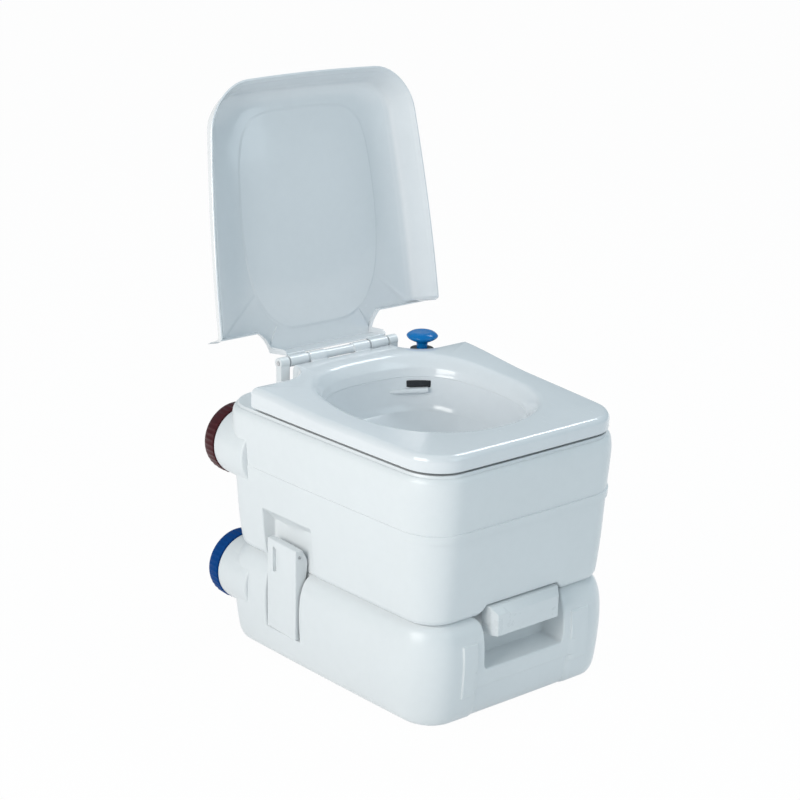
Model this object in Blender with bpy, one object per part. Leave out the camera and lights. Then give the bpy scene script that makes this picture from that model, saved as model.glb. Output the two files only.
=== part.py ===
"""Portable camp toilet: a flush tank with bowl, seat and lid latched on a waste tank with a slide valve.

Metres, +Z up. The front, with the valve handle, faces -Y. The origin is the middle of the base.
Named sizes come first, then the shaping tools, then one function for each piece or group of pieces.
"""

import math

import bmesh
import bpy
from mathutils import Matrix, Vector

# ---------------------------------------------------------------- overall plan
HALF_WIDTH = 0.1725          # half the rim's width at y = 0
FRONT = 0.191                # rim, from the origin to the front face
REAR = 0.213                 # rim, from the origin to the rear face
CORNER = 0.051               # plan radius of the four corners
TAPER = 0.46                 # widening of the plan for each metre toward the rear
SIDE_BOW = 0.011             # share by which the sides bow outward
FRONT_BOW = 0.0085           # share by which the front bows outward
WALL = 0.003                 # blow-moulded wall
GAP = 0.0003                 # clearance where pieces touch
PLAY = 0.0015                # clearance round loose pieces

# ---------------------------------------------------------------- heights
DECK = 0.134                 # top of the waste tank
FLUSH_BASE = DECK + GAP
FLUSH_TOP = 0.3335           # flat top of the flush tank
BUMPER = 0.0035
BUMPER_RADIUS = 0.0045
SEAT_BASE = FLUSH_TOP + BUMPER
SEAT_TOP = 0.3585
SEAT_RISE = 0.006            # how much the seat rises toward the hinge

# Outer profiles: (inset from the plan, height)
WASTE_PROFILE = (
    (0.022, 0.0), (0.014, 0.0025), (0.0095, 0.008), (0.006, 0.020), (0.0025, 0.05),
    (0.0010, 0.08), (0.0025, 0.105), (0.0065, 0.120), (0.012, 0.129), (0.020, DECK),
)
FLUSH_PROFILE = (
    (0.024, FLUSH_BASE), (0.016, 0.1368), (0.0115, 0.1415), (0.0095, 0.150), (0.0055, 0.190),
    (0.0015, 0.2566), (-0.001, 0.290), (-0.002, 0.312), (-0.0005, 0.324), (0.0025, 0.3295),
    (0.0045, 0.3305), (0.006, FLUSH_TOP),
)

# ---------------------------------------------------------------- grip recess, handle and slide valve
RECESS_HALF = 0.066
RECESS_FLOOR = 0.068
RECESS_BACK = -0.152
ARCH_LOW_HALF = 0.072
ARCH_HIGH_HALF = 0.059
ARCH_TOP = 0.149
VALVE_Y = -0.020
VALVE_BORE = 0.038
VALVE_TRAVEL = 0.084
BLADE_LAP = 0.0035
BLADE_HALF_WIDTH = 0.0485
BLADE_THICKNESS = 0.0034
HOUSING_HALF_WIDTH = 0.060
HOUSING_BASE = 0.1125
HOUSING_PLATE = 0.0045
COVER_PLATE = 0.004
SEAL_WIDTH = 0.006
SEAL_DEPTH = 0.0022
ROD_HALF_WIDTH = 0.006
ROD_SLOT_HALF = 0.010
HANDLE_HALF = 0.054
HANDLE_FRONT = -0.195
HANDLE_BACK = -0.168
HANDLE_LOW = 0.108
HANDLE_HIGH = 0.145
HANDLE_CHAMFER = 0.0065
HANDLE_FACE = 0.005          # thickness behind the handle's front

# ---------------------------------------------------------------- bowl and seat hole
HOLE_HALF = 0.127
HOLE_FRONT = -0.132
HOLE_REAR = 0.152
HOLE_MIDDLE = 0.012
HOLE_LIP = 0.010             # how far the seat's inner side slopes in
BOWL_WALL = 0.003
BOWL_FLANGE = 0.010
SPIGOT = 0.040               # outer radius of the bowl's outlet
NOZZLE_RADIUS = 0.007
NOZZLE_BORE = 0.0045
NOZZLE_Z = 0.318
NOZZLE_TIP = (0.050, 0.104, NOZZLE_Z)
NOZZLE_ROOT = (0.078, 0.152, NOZZLE_Z)

# ---------------------------------------------------------------- hinge, seat and lid
HINGE_Y = REAR - 0.010
HINGE_Z = 0.366
PIN_RADIUS = 0.003
BARREL_RADIUS = 0.0075
SEAT_INSET = 0.003
SEAT_WALL = 0.004
SEAT_EDGE = 0.009
SEAT_CORNER_REAR = 0.145
SEAT_REAR = HINGE_Y - BARREL_RADIUS - 0.004
NOTCH_X = 0.130
SEAT_NOTCH = 0.047
LID_HALF = 0.171
LID_TAPER = 0.37
LID_BOW = 0.035
LID_LENGTH = 0.370
LID_DEPTH = 0.040
LID_WALL = 0.003
LID_NOTCH = 0.047
LID_CORNER, LID_REAR_CORNER = 0.060, 0.020
LID_FRONT_BOW = 0.03
LID_PROFILE = (              # (inset from the plan, height over the hinge)
    (0.0, 0.0), (0.0055, 0.012), (0.0105, 0.0225), (0.0145, 0.031), (0.0185, 0.0368), (0.026, LID_DEPTH),
)
LID_CORNER_GAP = 0.038
LID_OPEN = math.radians(99.5)   # opening angle from closed, as shown here
TAB_HALF = 0.083
BRACKET_WIDTH = 0.014
BRACKET_FOOT = 0.004

# ---------------------------------------------------------------- necks and caps
FILL_X, FILL_Z = -0.148, 0.267
DRAIN_X, DRAIN_Z = -0.143, 0.085
NECK_RADIUS = 0.0395
NECK_WALL = 0.0035
NECK_START = 0.150
NECK_END = REAR + 0.0165
SHOULDER_RADIUS = 0.0465
SHOULDER_END = REAR + 0.0018
THREAD = 0.0014
CAP_RADIUS = 0.048
CAP_LENGTH = 0.0205
CAP_WALL = 0.004
CAP_RIBS = 24
GASKET = 0.002

# ---------------------------------------------------------------- pump
PUMP_X, PUMP_Y = 0.132, 0.184
PUMP_RADIUS = 0.0135
PUMP_BORE = 0.012
PUMP_ROD = 0.004
COLLAR_TOP = 0.352
KNOB_RADIUS = 0.0208
KNOB_LOW = 0.3525
KNOB_TOP = 0.3765
ROD_TOP = 0.3700
PISTON_Z = 0.195
PISTON_RADIUS = 0.0112
CYLINDER_BASE = 0.165

# ---------------------------------------------------------------- side latches
LATCH_FRONT, LATCH_REAR = 0.050, 0.112
LATCH_LOW, LATCH_HIGH = 0.045, 0.170
LATCH_INNER, LATCH_OUTER = 0.168, 0.180
LATCH_PIN_X, LATCH_PIN_Z = 0.174, 0.160
LATCH_PIN_RADIUS = 0.0021
UPPER_POCKET = (0.158, 0.030, 0.125, 0.205)   # inner x, front, rear, top
LOWER_POCKET = (0.158, 0.046, 0.116, 0.040)   # inner x, front, rear, bottom
HOOK_REACH = 0.007

# ---------------------------------------------------------------- screws
SCREW_SHANK = 0.0015
SCREW_HEAD = 0.0034
SCREW_HOLE = 0.0018

CORNER_STEPS = 5
SIDE_STEPS = 2
ROUND = 24
OVAL_STEPS = 32
SCREW_STEPS = 12
NOZZLE_STEPS = 20
OVER = 0.01                  # how far a cutting tool passes beyond what it cuts


# ================================================================ shaping tools
def clear_scene():
    for obj in list(bpy.data.objects):
        bpy.data.objects.remove(obj, do_unlink=True)


def finish_material(name, colour, roughness, metallic=0.0):
    material = bpy.data.materials.new(name)
    material.use_nodes = True
    shader = material.node_tree.nodes["Principled BSDF"]
    shader.inputs["Base Color"].default_value = (*colour, 1.0)
    shader.inputs["Roughness"].default_value = roughness
    shader.inputs["Metallic"].default_value = metallic
    material.diffuse_color = (*colour, 1.0)
    return material


def to_object(name, bm, material=None):
    """Makes an object of a bmesh, with its faces turned outward."""
    bmesh.ops.recalc_face_normals(bm, faces=bm.faces)
    mesh = bpy.data.meshes.new(name)
    bm.to_mesh(mesh)
    bm.free()
    obj = bpy.data.objects.new(name, mesh)
    bpy.context.scene.collection.objects.link(obj)
    if material:
        obj.data.materials.append(material)
    return obj


def combine(target, operation, *tools):
    """Applies a Boolean of each tool to the target and removes the tool."""
    for tool in tools:
        modifier = target.modifiers.new("combine", "BOOLEAN")
        modifier.operation = operation
        modifier.object = tool
        bpy.context.view_layer.update()
        graph = bpy.context.evaluated_depsgraph_get()
        shaped = bpy.data.meshes.new_from_object(target.evaluated_get(graph))
        target.modifiers.clear()
        target.data = shaped
        bpy.data.objects.remove(tool, do_unlink=True)
    return target


def smooth(obj, degrees=35):
    obj.data.shade_smooth()
    obj.data.set_sharp_from_angle(angle=math.radians(degrees))
    return obj


def skin(rings, closed=False):
    """A bmesh through rings of equal length; open ends are capped, or the last ring joins the first."""
    bm = bmesh.new()
    loops = [[bm.verts.new(point) for point in ring] for ring in rings]
    pairs = list(zip(loops, loops[1:]))
    if closed:
        pairs.append((loops[-1], loops[0]))
    for low, high in pairs:
        count = len(low)
        for i in range(count):
            j = (i + 1) % count
            bm.faces.new((low[i], low[j], high[j], high[i]))
    if not closed:
        bm.faces.new(loops[0])
        bm.faces.new(loops[-1])
    return bm


def block(name, x, y, z, material=None):
    """A box between the two values of each of x, y and z."""
    bm = bmesh.new()
    bmesh.ops.create_cube(bm, size=1.0)
    for vert in bm.verts:
        vert.co = Vector(
            [low + (high - low) * (value + 0.5) for value, (low, high) in zip(vert.co, (x, y, z))]
        )
    return to_object(name, bm, material)


def turned(name, profile, material=None, steps=ROUND, ribs=0, rib_depth=0.0, rib_from=0.0):
    """A turned piece about Z from (radius, height) pairs, which form a closed section or end on the axis."""
    on_axis = profile[0][0] == 0.0 and profile[-1][0] == 0.0
    body = profile[1:-1] if on_axis else profile
    count = ribs * 2 if ribs else steps

    def ring(radius, height):
        points = []
        for i in range(count):
            angle = 2 * math.pi * i / count
            depth = rib_depth if ribs and i % 2 and radius > rib_from else 0.0
            reach = radius - depth
            points.append(Vector((reach * math.cos(angle), reach * math.sin(angle), height)))
        return points

    bm = skin([ring(*pair) for pair in body], closed=not on_axis)
    return to_object(name, bm, material)


def rod(name, radius, start, end, material=None, steps=ROUND):
    """A solid round bar from one point to another."""
    start, end = Vector(start), Vector(end)
    along = end - start
    bm = bmesh.new()
    bmesh.ops.create_cone(
        bm, cap_ends=True, segments=steps, radius1=radius, radius2=radius, depth=along.length
    )
    turn = along.to_track_quat("Z", "Y").to_matrix().to_4x4()
    bmesh.ops.transform(bm, matrix=Matrix.Translation((start + end) / 2) @ turn, verts=bm.verts)
    return to_object(name, bm, material)


def place(obj, matrix):
    """Applies a matrix to the object's mesh."""
    obj.data.transform(matrix)
    if matrix.determinant() < 0:
        obj.data.flip_normals()
    return obj


def rest_at(obj, point):
    """Puts the object's origin on a point without moving its shape."""
    obj.data.transform(Matrix.Translation(-Vector(point)))
    obj.location = point
    return obj


TO_REAR = Matrix.Rotation(math.radians(-90), 4, "X")   # turns +Z to +Y


# ================================================================ plan shapes
def bend_plan(x, y, taper, side_bow, front_bow, half):
    """Widens the plan toward the rear and bows its sides and front."""
    middle = (REAR - FRONT) / 2
    along = (y - middle) / ((REAR + FRONT) / 2)
    wide = x * (1 + taper * y) * (1 + side_bow * (1 - along * along))
    across = x / half
    deep = y * (1 + front_bow * (1 - across * across)) if y < 0 else y
    return wide, deep


def plan(inset, z, half=HALF_WIDTH, front=FRONT, rear=REAR, corner=CORNER, rear_corner=None,
         taper=TAPER, side_bow=SIDE_BOW, front_bow=FRONT_BOW):
    """A ring of the rounded plan at height z, set in by inset."""
    half_in = half - inset
    y_low, y_high = -front + inset, rear - inset
    radius_front = max(corner - inset, 0.004)
    radius_rear = max((rear_corner or corner) - inset, 0.004)
    centres = (
        (half_in - radius_front, y_low + radius_front, -90, radius_front),
        (half_in - radius_rear, y_high - radius_rear, 0, radius_rear),
        (-half_in + radius_rear, y_high - radius_rear, 90, radius_rear),
        (-half_in + radius_front, y_low + radius_front, 180, radius_front),
    )
    flat = []
    for cx, cy, start, radius in centres:
        for step in range(CORNER_STEPS + 1):
            angle = math.radians(start + 90 * step / CORNER_STEPS)
            flat.append((cx + radius * math.cos(angle), cy + radius * math.sin(angle)))
    ring = []
    per_corner = CORNER_STEPS + 1
    for i, (x, y) in enumerate(flat):
        ring.append((x, y))
        if i % per_corner == per_corner - 1:
            nx, ny = flat[(i + 1) % len(flat)]
            for step in range(1, SIDE_STEPS + 1):
                share = step / (SIDE_STEPS + 1)
                ring.append((x + (nx - x) * share, y + (ny - y) * share))
    bent = [bend_plan(x, y, taper, side_bow, front_bow, half) for x, y in ring]
    return [Vector((x, y, z)) for x, y in bent]


def oval(grow, z, steps=OVAL_STEPS, half=HOLE_HALF, front=HOLE_FRONT, rear=HOLE_REAR, middle=HOLE_MIDDLE):
    """A ring of the seat hole's egg shape at height z, grown outward by grow."""
    ring = []
    for i in range(steps):
        angle = 2 * math.pi * i / steps
        c, s = math.cos(angle), math.sin(angle)
        power = 2 / 2.25 if s < 0 else 2 / 2.7
        reach = (middle - front if s < 0 else rear - middle) + grow
        x = (half + grow) * math.copysign(abs(c) ** power, c)
        y = middle + reach * math.copysign(abs(s) ** power, s)
        ring.append(Vector((x, y, z)))
    return ring


def circle(radius, x, y, z, steps=OVAL_STEPS):
    angles = [2 * math.pi * i / steps for i in range(steps)]
    return [Vector((x + radius * math.cos(a), y + radius * math.sin(a), z)) for a in angles]


def inner_profile(profile, wall=WALL):
    """The cavity's profile: the outer one set in by the wall, between floor and ceiling."""
    floor, ceiling = profile[0][1] + wall, profile[-1][1] - wall

    def inset_at(height):
        for (a, low), (b, high) in zip(profile, profile[1:]):
            if low <= height <= high:
                return a + (b - a) * (height - low) / (high - low)
        return profile[-1][0]

    inside = [(inset, z) for inset, z in profile if floor < z < ceiling]
    ends = ((inset_at(floor), floor), (inset_at(ceiling), ceiling))
    return [(inset + wall, z) for inset, z in (ends[0], *inside, ends[1])]


def tank_body(name, profile, material):
    return to_object(name, skin([plan(inset, z) for inset, z in profile]), material)


def cavity(profile, keep):
    """The tank's hollow, less the blocks that must keep a wall round them."""
    hollow = to_object("hollow", skin([plan(inset, z) for inset, z in inner_profile(profile)]))
    return combine(hollow, "DIFFERENCE", *keep)


# ================================================================ pieces
def valve_pocket(grow):
    """The stepped pocket in the deck for the valve housing and its rod."""
    half = HOUSING_HALF_WIDTH + GAP + grow
    low = HOUSING_BASE - GAP - grow
    y_front, y_rear = housing_span()
    slot = ROD_SLOT_HALF + grow
    return (
        block("pocket", (-half, half), (y_front - GAP - grow, y_rear + GAP + grow), (low, DECK + OVER)),
        block("slot", (-slot, slot), (RECESS_BACK - OVER, y_front + OVER), (low, DECK + OVER)),
    )


def housing_span():
    """Front and rear of the valve housing."""
    closed_rear = VALVE_Y + VALVE_BORE + BLADE_LAP
    open_front = VALVE_Y - VALVE_BORE - BLADE_LAP - VALVE_TRAVEL
    return open_front - 2 * PLAY, closed_rear + 0.007


def grip_recess(grow):
    return block(
        "recess", (-RECESS_HALF - grow, RECESS_HALF + grow), (-FRONT - 0.05, RECESS_BACK + grow),
        (RECESS_FLOOR - grow, DECK + 0.01),
    )


def arch(grow):
    """The cut over the handle in the flush tank's lower front edge."""
    low, high = FLUSH_BASE - 0.01, ARCH_TOP + grow
    slope = (ARCH_LOW_HALF - ARCH_HIGH_HALF) / (ARCH_TOP - FLUSH_BASE)
    wide = ARCH_LOW_HALF + grow + slope * (FLUSH_BASE - low)
    narrow = ARCH_HIGH_HALF + grow - slope * (high - ARCH_TOP)
    rings = []
    for y in (-FRONT - 0.05, RECESS_BACK + grow):
        corners = ((-wide, low), (wide, low), (narrow, high), (-narrow, high))
        rings.append([Vector((x, y, z)) for x, z in corners])
    return to_object("arch", skin(rings))


def side_block(name, side, inner, front, rear, low, high, grow=0.0):
    x = sorted((side * (inner - grow), side * 0.25))
    return block(name, x, (front - grow, rear + grow), (low - grow, high + grow))


def upper_pockets(grow):
    inner, front, rear, top = UPPER_POCKET
    low = FLUSH_BASE - OVER
    return [side_block("pocket", side, inner, front, rear, low, top, grow) for side in (-1, 1)]


def lower_pockets(grow):
    inner, front, rear, low = LOWER_POCKET
    return [side_block("pocket", side, inner, front, rear, low, DECK + 0.01, grow) for side in (-1, 1)]


def screw_hole(x, y, low, high):
    return rod("hole", SCREW_HOLE, (x, y, low), (x, y, high), steps=SCREW_STEPS)


def neck(x, z):
    """A round neck pointing to the rear, with a shoulder in front of the cap and two thread beads."""
    outer, bead = NECK_RADIUS, NECK_RADIUS + THREAD
    profile = [
        (0.0, NECK_START), (SHOULDER_RADIUS, NECK_START), (SHOULDER_RADIUS, SHOULDER_END - 0.002),
        (SHOULDER_RADIUS - 0.002, SHOULDER_END), (outer, SHOULDER_END),
    ]
    for start in (NECK_END - 0.013, NECK_END - 0.007):
        profile += [(outer, start), (bead, start + 0.001), (bead, start + 0.002), (outer, start + 0.003)]
    profile += [(outer, NECK_END), (0.0, NECK_END)]
    tube = turned("neck", profile)
    return place(tube, Matrix.Translation((x, 0, z)) @ TO_REAR)


def neck_bore(x, z):
    """The neck's opening, which stops a wall short of the neck's inner end."""
    start, end = NECK_START + NECK_WALL, NECK_END + 0.01
    return rod("bore", NECK_RADIUS - NECK_WALL, (x, start, z), (x, end, z))


def make_waste_tank(material):
    tank = tank_body("waste_tank", WASTE_PROFILE, material)
    combine(tank, "UNION", neck(DRAIN_X, DRAIN_Z))
    keep = [grip_recess(WALL), *valve_pocket(WALL), *lower_pockets(WALL)]
    combine(tank, "DIFFERENCE", cavity(WASTE_PROFILE, keep), neck_bore(DRAIN_X, DRAIN_Z))
    combine(tank, "DIFFERENCE", grip_recess(0.0), *valve_pocket(0.0), *lower_pockets(0.0))
    outlet = rod("outlet", VALVE_BORE, (0, VALVE_Y, HOUSING_BASE - 0.02), (0, VALVE_Y, DECK))
    combine(tank, "DIFFERENCE", outlet)
    inner, front, rear, _ = LOWER_POCKET
    for side in (-1, 1):
        catch = block(
            "catch", sorted((side * (inner - 0.001), side * (LATCH_INNER - 0.002))),
            (front + 0.012, rear - 0.012), (LATCH_LOW + 0.0105, LATCH_LOW + 0.0165),
        )
        combine(tank, "UNION", catch)
    return smooth(tank)


def make_flush_tank(material):
    tank = tank_body("flush_tank", FLUSH_PROFILE, material)
    combine(tank, "UNION", neck(FILL_X, FILL_Z))
    keep = [arch(WALL), *upper_pockets(WALL)]
    combine(tank, "DIFFERENCE", cavity(FLUSH_PROFILE, keep), neck_bore(FILL_X, FILL_Z))
    combine(tank, "DIFFERENCE", arch(0.0), *upper_pockets(0.0))
    mouth = skin([oval(BOWL_WALL + GAP - HOLE_LIP, z) for z in (FLUSH_TOP - 0.01, FLUSH_TOP + 0.01)])
    combine(tank, "DIFFERENCE", to_object("mouth", mouth))
    floor_hole = rod(
        "floor_hole", SPIGOT + PLAY / 2, (0, VALVE_Y, FLUSH_BASE - OVER), (0, VALVE_Y, FLUSH_BASE + OVER),
        steps=OVAL_STEPS,
    )
    pump_hole = rod(
        "pump_hole", PUMP_RADIUS + GAP, (PUMP_X, PUMP_Y, FLUSH_TOP - OVER), (PUMP_X, PUMP_Y, FLUSH_TOP + OVER)
    )
    combine(tank, "DIFFERENCE", floor_hole, pump_hole)
    return smooth(tank)


def bowl_ring(share, z, offset):
    """A ring of the bowl between the top oval (share 0) and the round outlet (share 1)."""
    top = oval(-HOLE_LIP + offset, z)
    outlet = circle(SPIGOT - BOWL_WALL + offset, 0, VALVE_Y, z)
    return [a.lerp(b, share) for a, b in zip(top, outlet)]


def make_bowl(material):
    rim_top = FLUSH_TOP + GAP + BOWL_WALL
    levels = (
        (0.0, FLUSH_TOP - 0.006), (0.03, 0.300), (0.06, 0.290), (0.12, 0.284), (0.33, 0.262),
        (0.58, 0.235), (0.80, 0.205), (0.95, 0.180), (1.0, 0.165), (1.0, FLUSH_BASE),
    )
    flange = [
        oval(BOWL_FLANGE - HOLE_LIP, rim_top), oval(BOWL_FLANGE - HOLE_LIP, FLUSH_TOP + GAP),
        oval(BOWL_WALL - HOLE_LIP, FLUSH_TOP + GAP),
    ]
    outer = [bowl_ring(share, z, BOWL_WALL) for share, z in levels]
    inner = [bowl_ring(share, z, 0.0) for share, z in reversed(levels)]
    rings = [*flange, *outer, *inner, oval(-HOLE_LIP, rim_top)]
    bowl = to_object("bowl", skin(rings, closed=True), material)
    passage = rod("passage", NOZZLE_RADIUS + GAP, NOZZLE_TIP, NOZZLE_ROOT, steps=NOZZLE_STEPS)
    combine(bowl, "DIFFERENCE", passage)
    return smooth(bowl)


def make_flush_line(material, rubber):
    nozzle = rod("flush_nozzle", NOZZLE_RADIUS, NOZZLE_TIP, NOZZLE_ROOT, material, steps=NOZZLE_STEPS)
    tip, root = Vector(NOZZLE_TIP), Vector(NOZZLE_ROOT)
    along = (root - tip).normalized()
    bore = rod("bore", NOZZLE_BORE, tip - along * OVER, root + along * OVER, steps=NOZZLE_STEPS)
    combine(nozzle, "DIFFERENCE", bore)
    start = Vector((PUMP_X - PUMP_RADIUS - GAP, PUMP_Y, NOZZLE_Z))
    end = root + along * 3 * GAP
    guide = end + along * 0.016
    points = [bezier(start, start + Vector((-0.012, 0, 0)), guide, end, i / 8) for i in range(9)]
    hose = tube_along("flush_hose", points, NOZZLE_RADIUS, rubber)
    reach = [points[0] + Vector((0.004, 0, 0)), *points[1:-1], points[-1] - along * 0.004]
    combine(hose, "DIFFERENCE", tube_along("bore", reach, NOZZLE_BORE))
    return smooth(nozzle), smooth(hose)


def bezier(a, b, c, d, t):
    s = 1 - t
    return a * s**3 + b * (3 * s * s * t) + c * (3 * s * t * t) + d * t**3


def tube_along(name, points, radius, material=None):
    """A solid round bar along a row of points in a level plane."""
    rings = []
    for i, point in enumerate(points):
        ahead = points[min(i + 1, len(points) - 1)] - points[max(i - 1, 0)]
        side = ahead.cross(Vector((0, 0, 1))).normalized()
        ring = []
        for step in range(10):
            angle = 2 * math.pi * step / 10
            level = side * (radius * math.cos(angle))
            ring.append(point + level + Vector((0, 0, radius * math.sin(angle))))
        rings.append(ring)
    return to_object(name, skin(rings), material)


def make_valve(white, grey, rubber, steel):
    y_front, y_rear = housing_span()
    half = HOUSING_HALF_WIDTH
    plate_top = HOUSING_BASE + HOUSING_PLATE
    blade_low = plate_top + GAP
    blade_high = blade_low + BLADE_THICKNESS
    rail_top = blade_high + GAP
    cover_low = rail_top + GAP
    cover_top = cover_low + COVER_PLATE
    housing = block("valve_housing", (-half, half), (y_front, y_rear), (HOUSING_BASE, rail_top), grey)
    track = BLADE_HALF_WIDTH + PLAY
    slot = ROD_HALF_WIDTH + PLAY
    over = rail_top + OVER
    seal_edge = VALVE_BORE + SEAL_WIDTH

    def bore(name, radius, low, high):
        return rod(name, radius, (0, VALVE_Y, low), (0, VALVE_Y, high))

    combine(
        housing, "DIFFERENCE",
        block("track", (-track, track), (y_front + 0.0015, y_rear - 0.004), (plate_top, over)),
        block("exit", (-slot, slot), (y_front - OVER, y_front + OVER), (plate_top, over)),
        bore("hole", VALVE_BORE, HOUSING_BASE - OVER, over),
        bore("seat", seal_edge + GAP, plate_top - SEAL_DEPTH - GAP, over),
    )
    cover = block("valve_cover", (-half, half), (y_front, y_rear), (cover_low, cover_top), white)
    combine(cover, "DIFFERENCE", bore("hole", VALVE_BORE, cover_low - OVER, cover_top + OVER))
    lower = ring_piece("valve_seal_lower", VALVE_BORE, seal_edge, plate_top - SEAL_DEPTH, plate_top, rubber)
    upper = ring_piece("valve_seal_upper", VALVE_BORE, seal_edge, cover_top + GAP, FLUSH_BASE - GAP, rubber)
    for seal in (lower, upper):
        place(seal, Matrix.Translation((0, VALVE_Y, 0)))
    rows = (y_front + 0.010, y_rear - 0.010)
    screw_places = [(side * (half - 0.005), y) for side in (-1, 1) for y in rows]
    profile = screw_profile(cover_top + GAP, rail_top - 0.0055)
    for number, (x, y) in enumerate(screw_places, 1):
        for piece, low in ((housing, rail_top - 0.006), (cover, cover_low - OVER)):
            combine(piece, "DIFFERENCE", screw_hole(x, y, low, cover_top + OVER))
        screw = turned(f"valve_screw_{number}", profile, steel, SCREW_STEPS)
        place(screw, Matrix.Translation((x, y, 0)))
        smooth(screw)
    smooth(housing)
    smooth(cover)
    lap = VALVE_BORE + BLADE_LAP
    level = (blade_low, blade_high)
    blade = block(
        "valve_blade", (-BLADE_HALF_WIDTH, BLADE_HALF_WIDTH), (VALVE_Y - lap, VALVE_Y + lap), level, white
    )
    bar = block(
        "valve_rod", (-ROD_HALF_WIDTH, ROD_HALF_WIDTH),
        (HANDLE_FRONT + HANDLE_FACE + GAP, VALVE_Y - lap - GAP), level, white,
    )
    rest_at(blade, (0, VALVE_Y, blade_low))
    rest_at(bar, (0, VALVE_Y, blade_low))
    make_handle(white)


def ring_piece(name, inner, outer, low, high, material):
    profile = [(outer, low), (outer, high), (inner, high), (inner, low)]
    return smooth(turned(name, profile, material))


def screw_profile(seat, tip):
    """A pan-head screw whose head rests at height seat and whose end is at height tip."""
    shank, head = SCREW_SHANK, SCREW_HEAD
    return [
        (0.0, tip), (shank * 0.6, tip), (shank, tip + 0.001), (shank, seat), (head, seat),
        (head, seat + 0.001), (head * 0.7, seat + 0.0018), (0.0, seat + 0.0018),
    ]


def make_handle(material):
    """The valve's pull: a chamfered box, hollow from behind for the fingers."""
    def frame(y, half, low, high):
        return [Vector(p) for p in ((-half, y, low), (half, y, low), (half, y, high), (-half, y, high))]

    c = HANDLE_CHAMFER
    rings = [
        frame(HANDLE_FRONT, HANDLE_HALF - c * 0.6, HANDLE_LOW + 0.0015, HANDLE_HIGH - c),
        frame(HANDLE_FRONT + 0.003, HANDLE_HALF - c * 0.3, HANDLE_LOW, HANDLE_HIGH - c * 0.6),
        frame(HANDLE_FRONT + 0.012, HANDLE_HALF, HANDLE_LOW, HANDLE_HIGH),
        frame(HANDLE_BACK, HANDLE_HALF, HANDLE_LOW, HANDLE_HIGH),
    ]
    handle = to_object("valve_handle", skin(rings), material)
    hollow = block(
        "hollow", (-HANDLE_HALF + 0.008, HANDLE_HALF - 0.008), (HANDLE_FRONT + HANDLE_FACE, HANDLE_BACK + OVER),
        (HANDLE_LOW + 0.003, HANDLE_HIGH - 0.009),
    )
    combine(handle, "DIFFERENCE", hollow)
    rest_at(smooth(handle), (0, VALVE_Y, HANDLE_LOW))


def cut_rear_corners(target, notch, centre_y, corner_y, low, high):
    """Cuts a rounded notch and the corner behind it on both sides."""
    for side in (-1, 1):
        combine(
            target, "DIFFERENCE",
            rod("notch", notch, (side * NOTCH_X, centre_y, low), (side * NOTCH_X, centre_y, high)),
            block("corner", sorted((side * NOTCH_X, side * 0.3)), (corner_y, 0.3), (low, high)),
        )
    return target


def seat_plan(inset, z):
    return plan(
        inset + SEAT_INSET, z, rear=SEAT_REAR + SEAT_INSET, corner=CORNER, rear_corner=0.016 + SEAT_INSET
    )


def seat_side(inset_extra, low, high):
    """Underside pocket of the seat, clear of its hole and its rear notches."""
    pocket = to_object("pocket", skin([seat_plan(SEAT_WALL + inset_extra, z) for z in (low, high)]))
    core = to_object("core", skin([oval(SEAT_WALL + 0.001, z) for z in (low - 0.01, high + 0.01)]))
    combine(pocket, "DIFFERENCE", core)
    return cut_rear_corners(
        pocket, SEAT_NOTCH + SEAT_WALL, SEAT_CORNER_REAR + SEAT_NOTCH, SEAT_CORNER_REAR - SEAT_WALL,
        low - 0.01, high + 0.01,
    )


def rise_at(y):
    share = min(max(y / SEAT_CORNER_REAR, 0.0), 1.0)
    return SEAT_RISE * share * share * (3 - 2 * share)


def make_seat(material):
    edge = SEAT_EDGE
    levels = [(0.0015, SEAT_BASE), (0.0, SEAT_BASE + 0.003), (0.0, SEAT_TOP - edge)]
    for step in range(1, 5):
        angle = math.radians(90 * step / 4)
        levels.append((edge * (1 - math.cos(angle)), SEAT_TOP - edge + edge * math.sin(angle)))
    seat = to_object("seat", skin([seat_plan(inset, z) for inset, z in levels]), material)
    hole = [
        (0.006, SEAT_TOP + 0.004), (0.0, SEAT_TOP), (-0.004, SEAT_TOP - 0.005),
        (-HOLE_LIP + 0.002, SEAT_TOP - 0.014), (-HOLE_LIP, SEAT_BASE - 0.004),
    ]
    combine(seat, "DIFFERENCE", to_object("hole", skin([oval(grow, z) for grow, z in hole])))
    cut_rear_corners(
        seat, SEAT_NOTCH, SEAT_CORNER_REAR + SEAT_NOTCH, SEAT_CORNER_REAR, SEAT_BASE - 0.01, SEAT_TOP + 0.01
    )
    combine(seat, "DIFFERENCE", seat_side(0.004, SEAT_BASE - 0.01, SEAT_TOP - SEAT_WALL))
    for vert in seat.data.vertices:
        if vert.co.z > SEAT_TOP - 0.02:
            vert.co.z += rise_at(vert.co.y)
    for side in (-1, 1):
        barrel = knuckle(side * 0.024, side * 0.050, HINGE_Y - 0.020, HINGE_Z - 0.0063, HINGE_Z - 0.0020)
        combine(seat, "UNION", barrel)
    return rest_at(smooth(seat), (0, HINGE_Y, HINGE_Z))


def hinge_bar(radius, x_low, x_high):
    """A round bar on the hinge's axis."""
    return rod("bar", radius, (x_low, HINGE_Y, HINGE_Z), (x_high, HINGE_Y, HINGE_Z))


def knuckle(x_start, x_end, web_start, web_low, web_high):
    """A hinge barrel with a web that reaches forward to web_start."""
    x_low, x_high = sorted((x_start, x_end))
    barrel = hinge_bar(BARREL_RADIUS, x_low, x_high)
    web_end = HINGE_Y - PIN_RADIUS - 0.0015
    combine(barrel, "UNION", block("web", (x_low, x_high), (web_start, web_end), (web_low, web_high)))
    return combine(barrel, "DIFFERENCE", hinge_bar(PIN_RADIUS + GAP, x_low - OVER, x_high + OVER))


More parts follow.
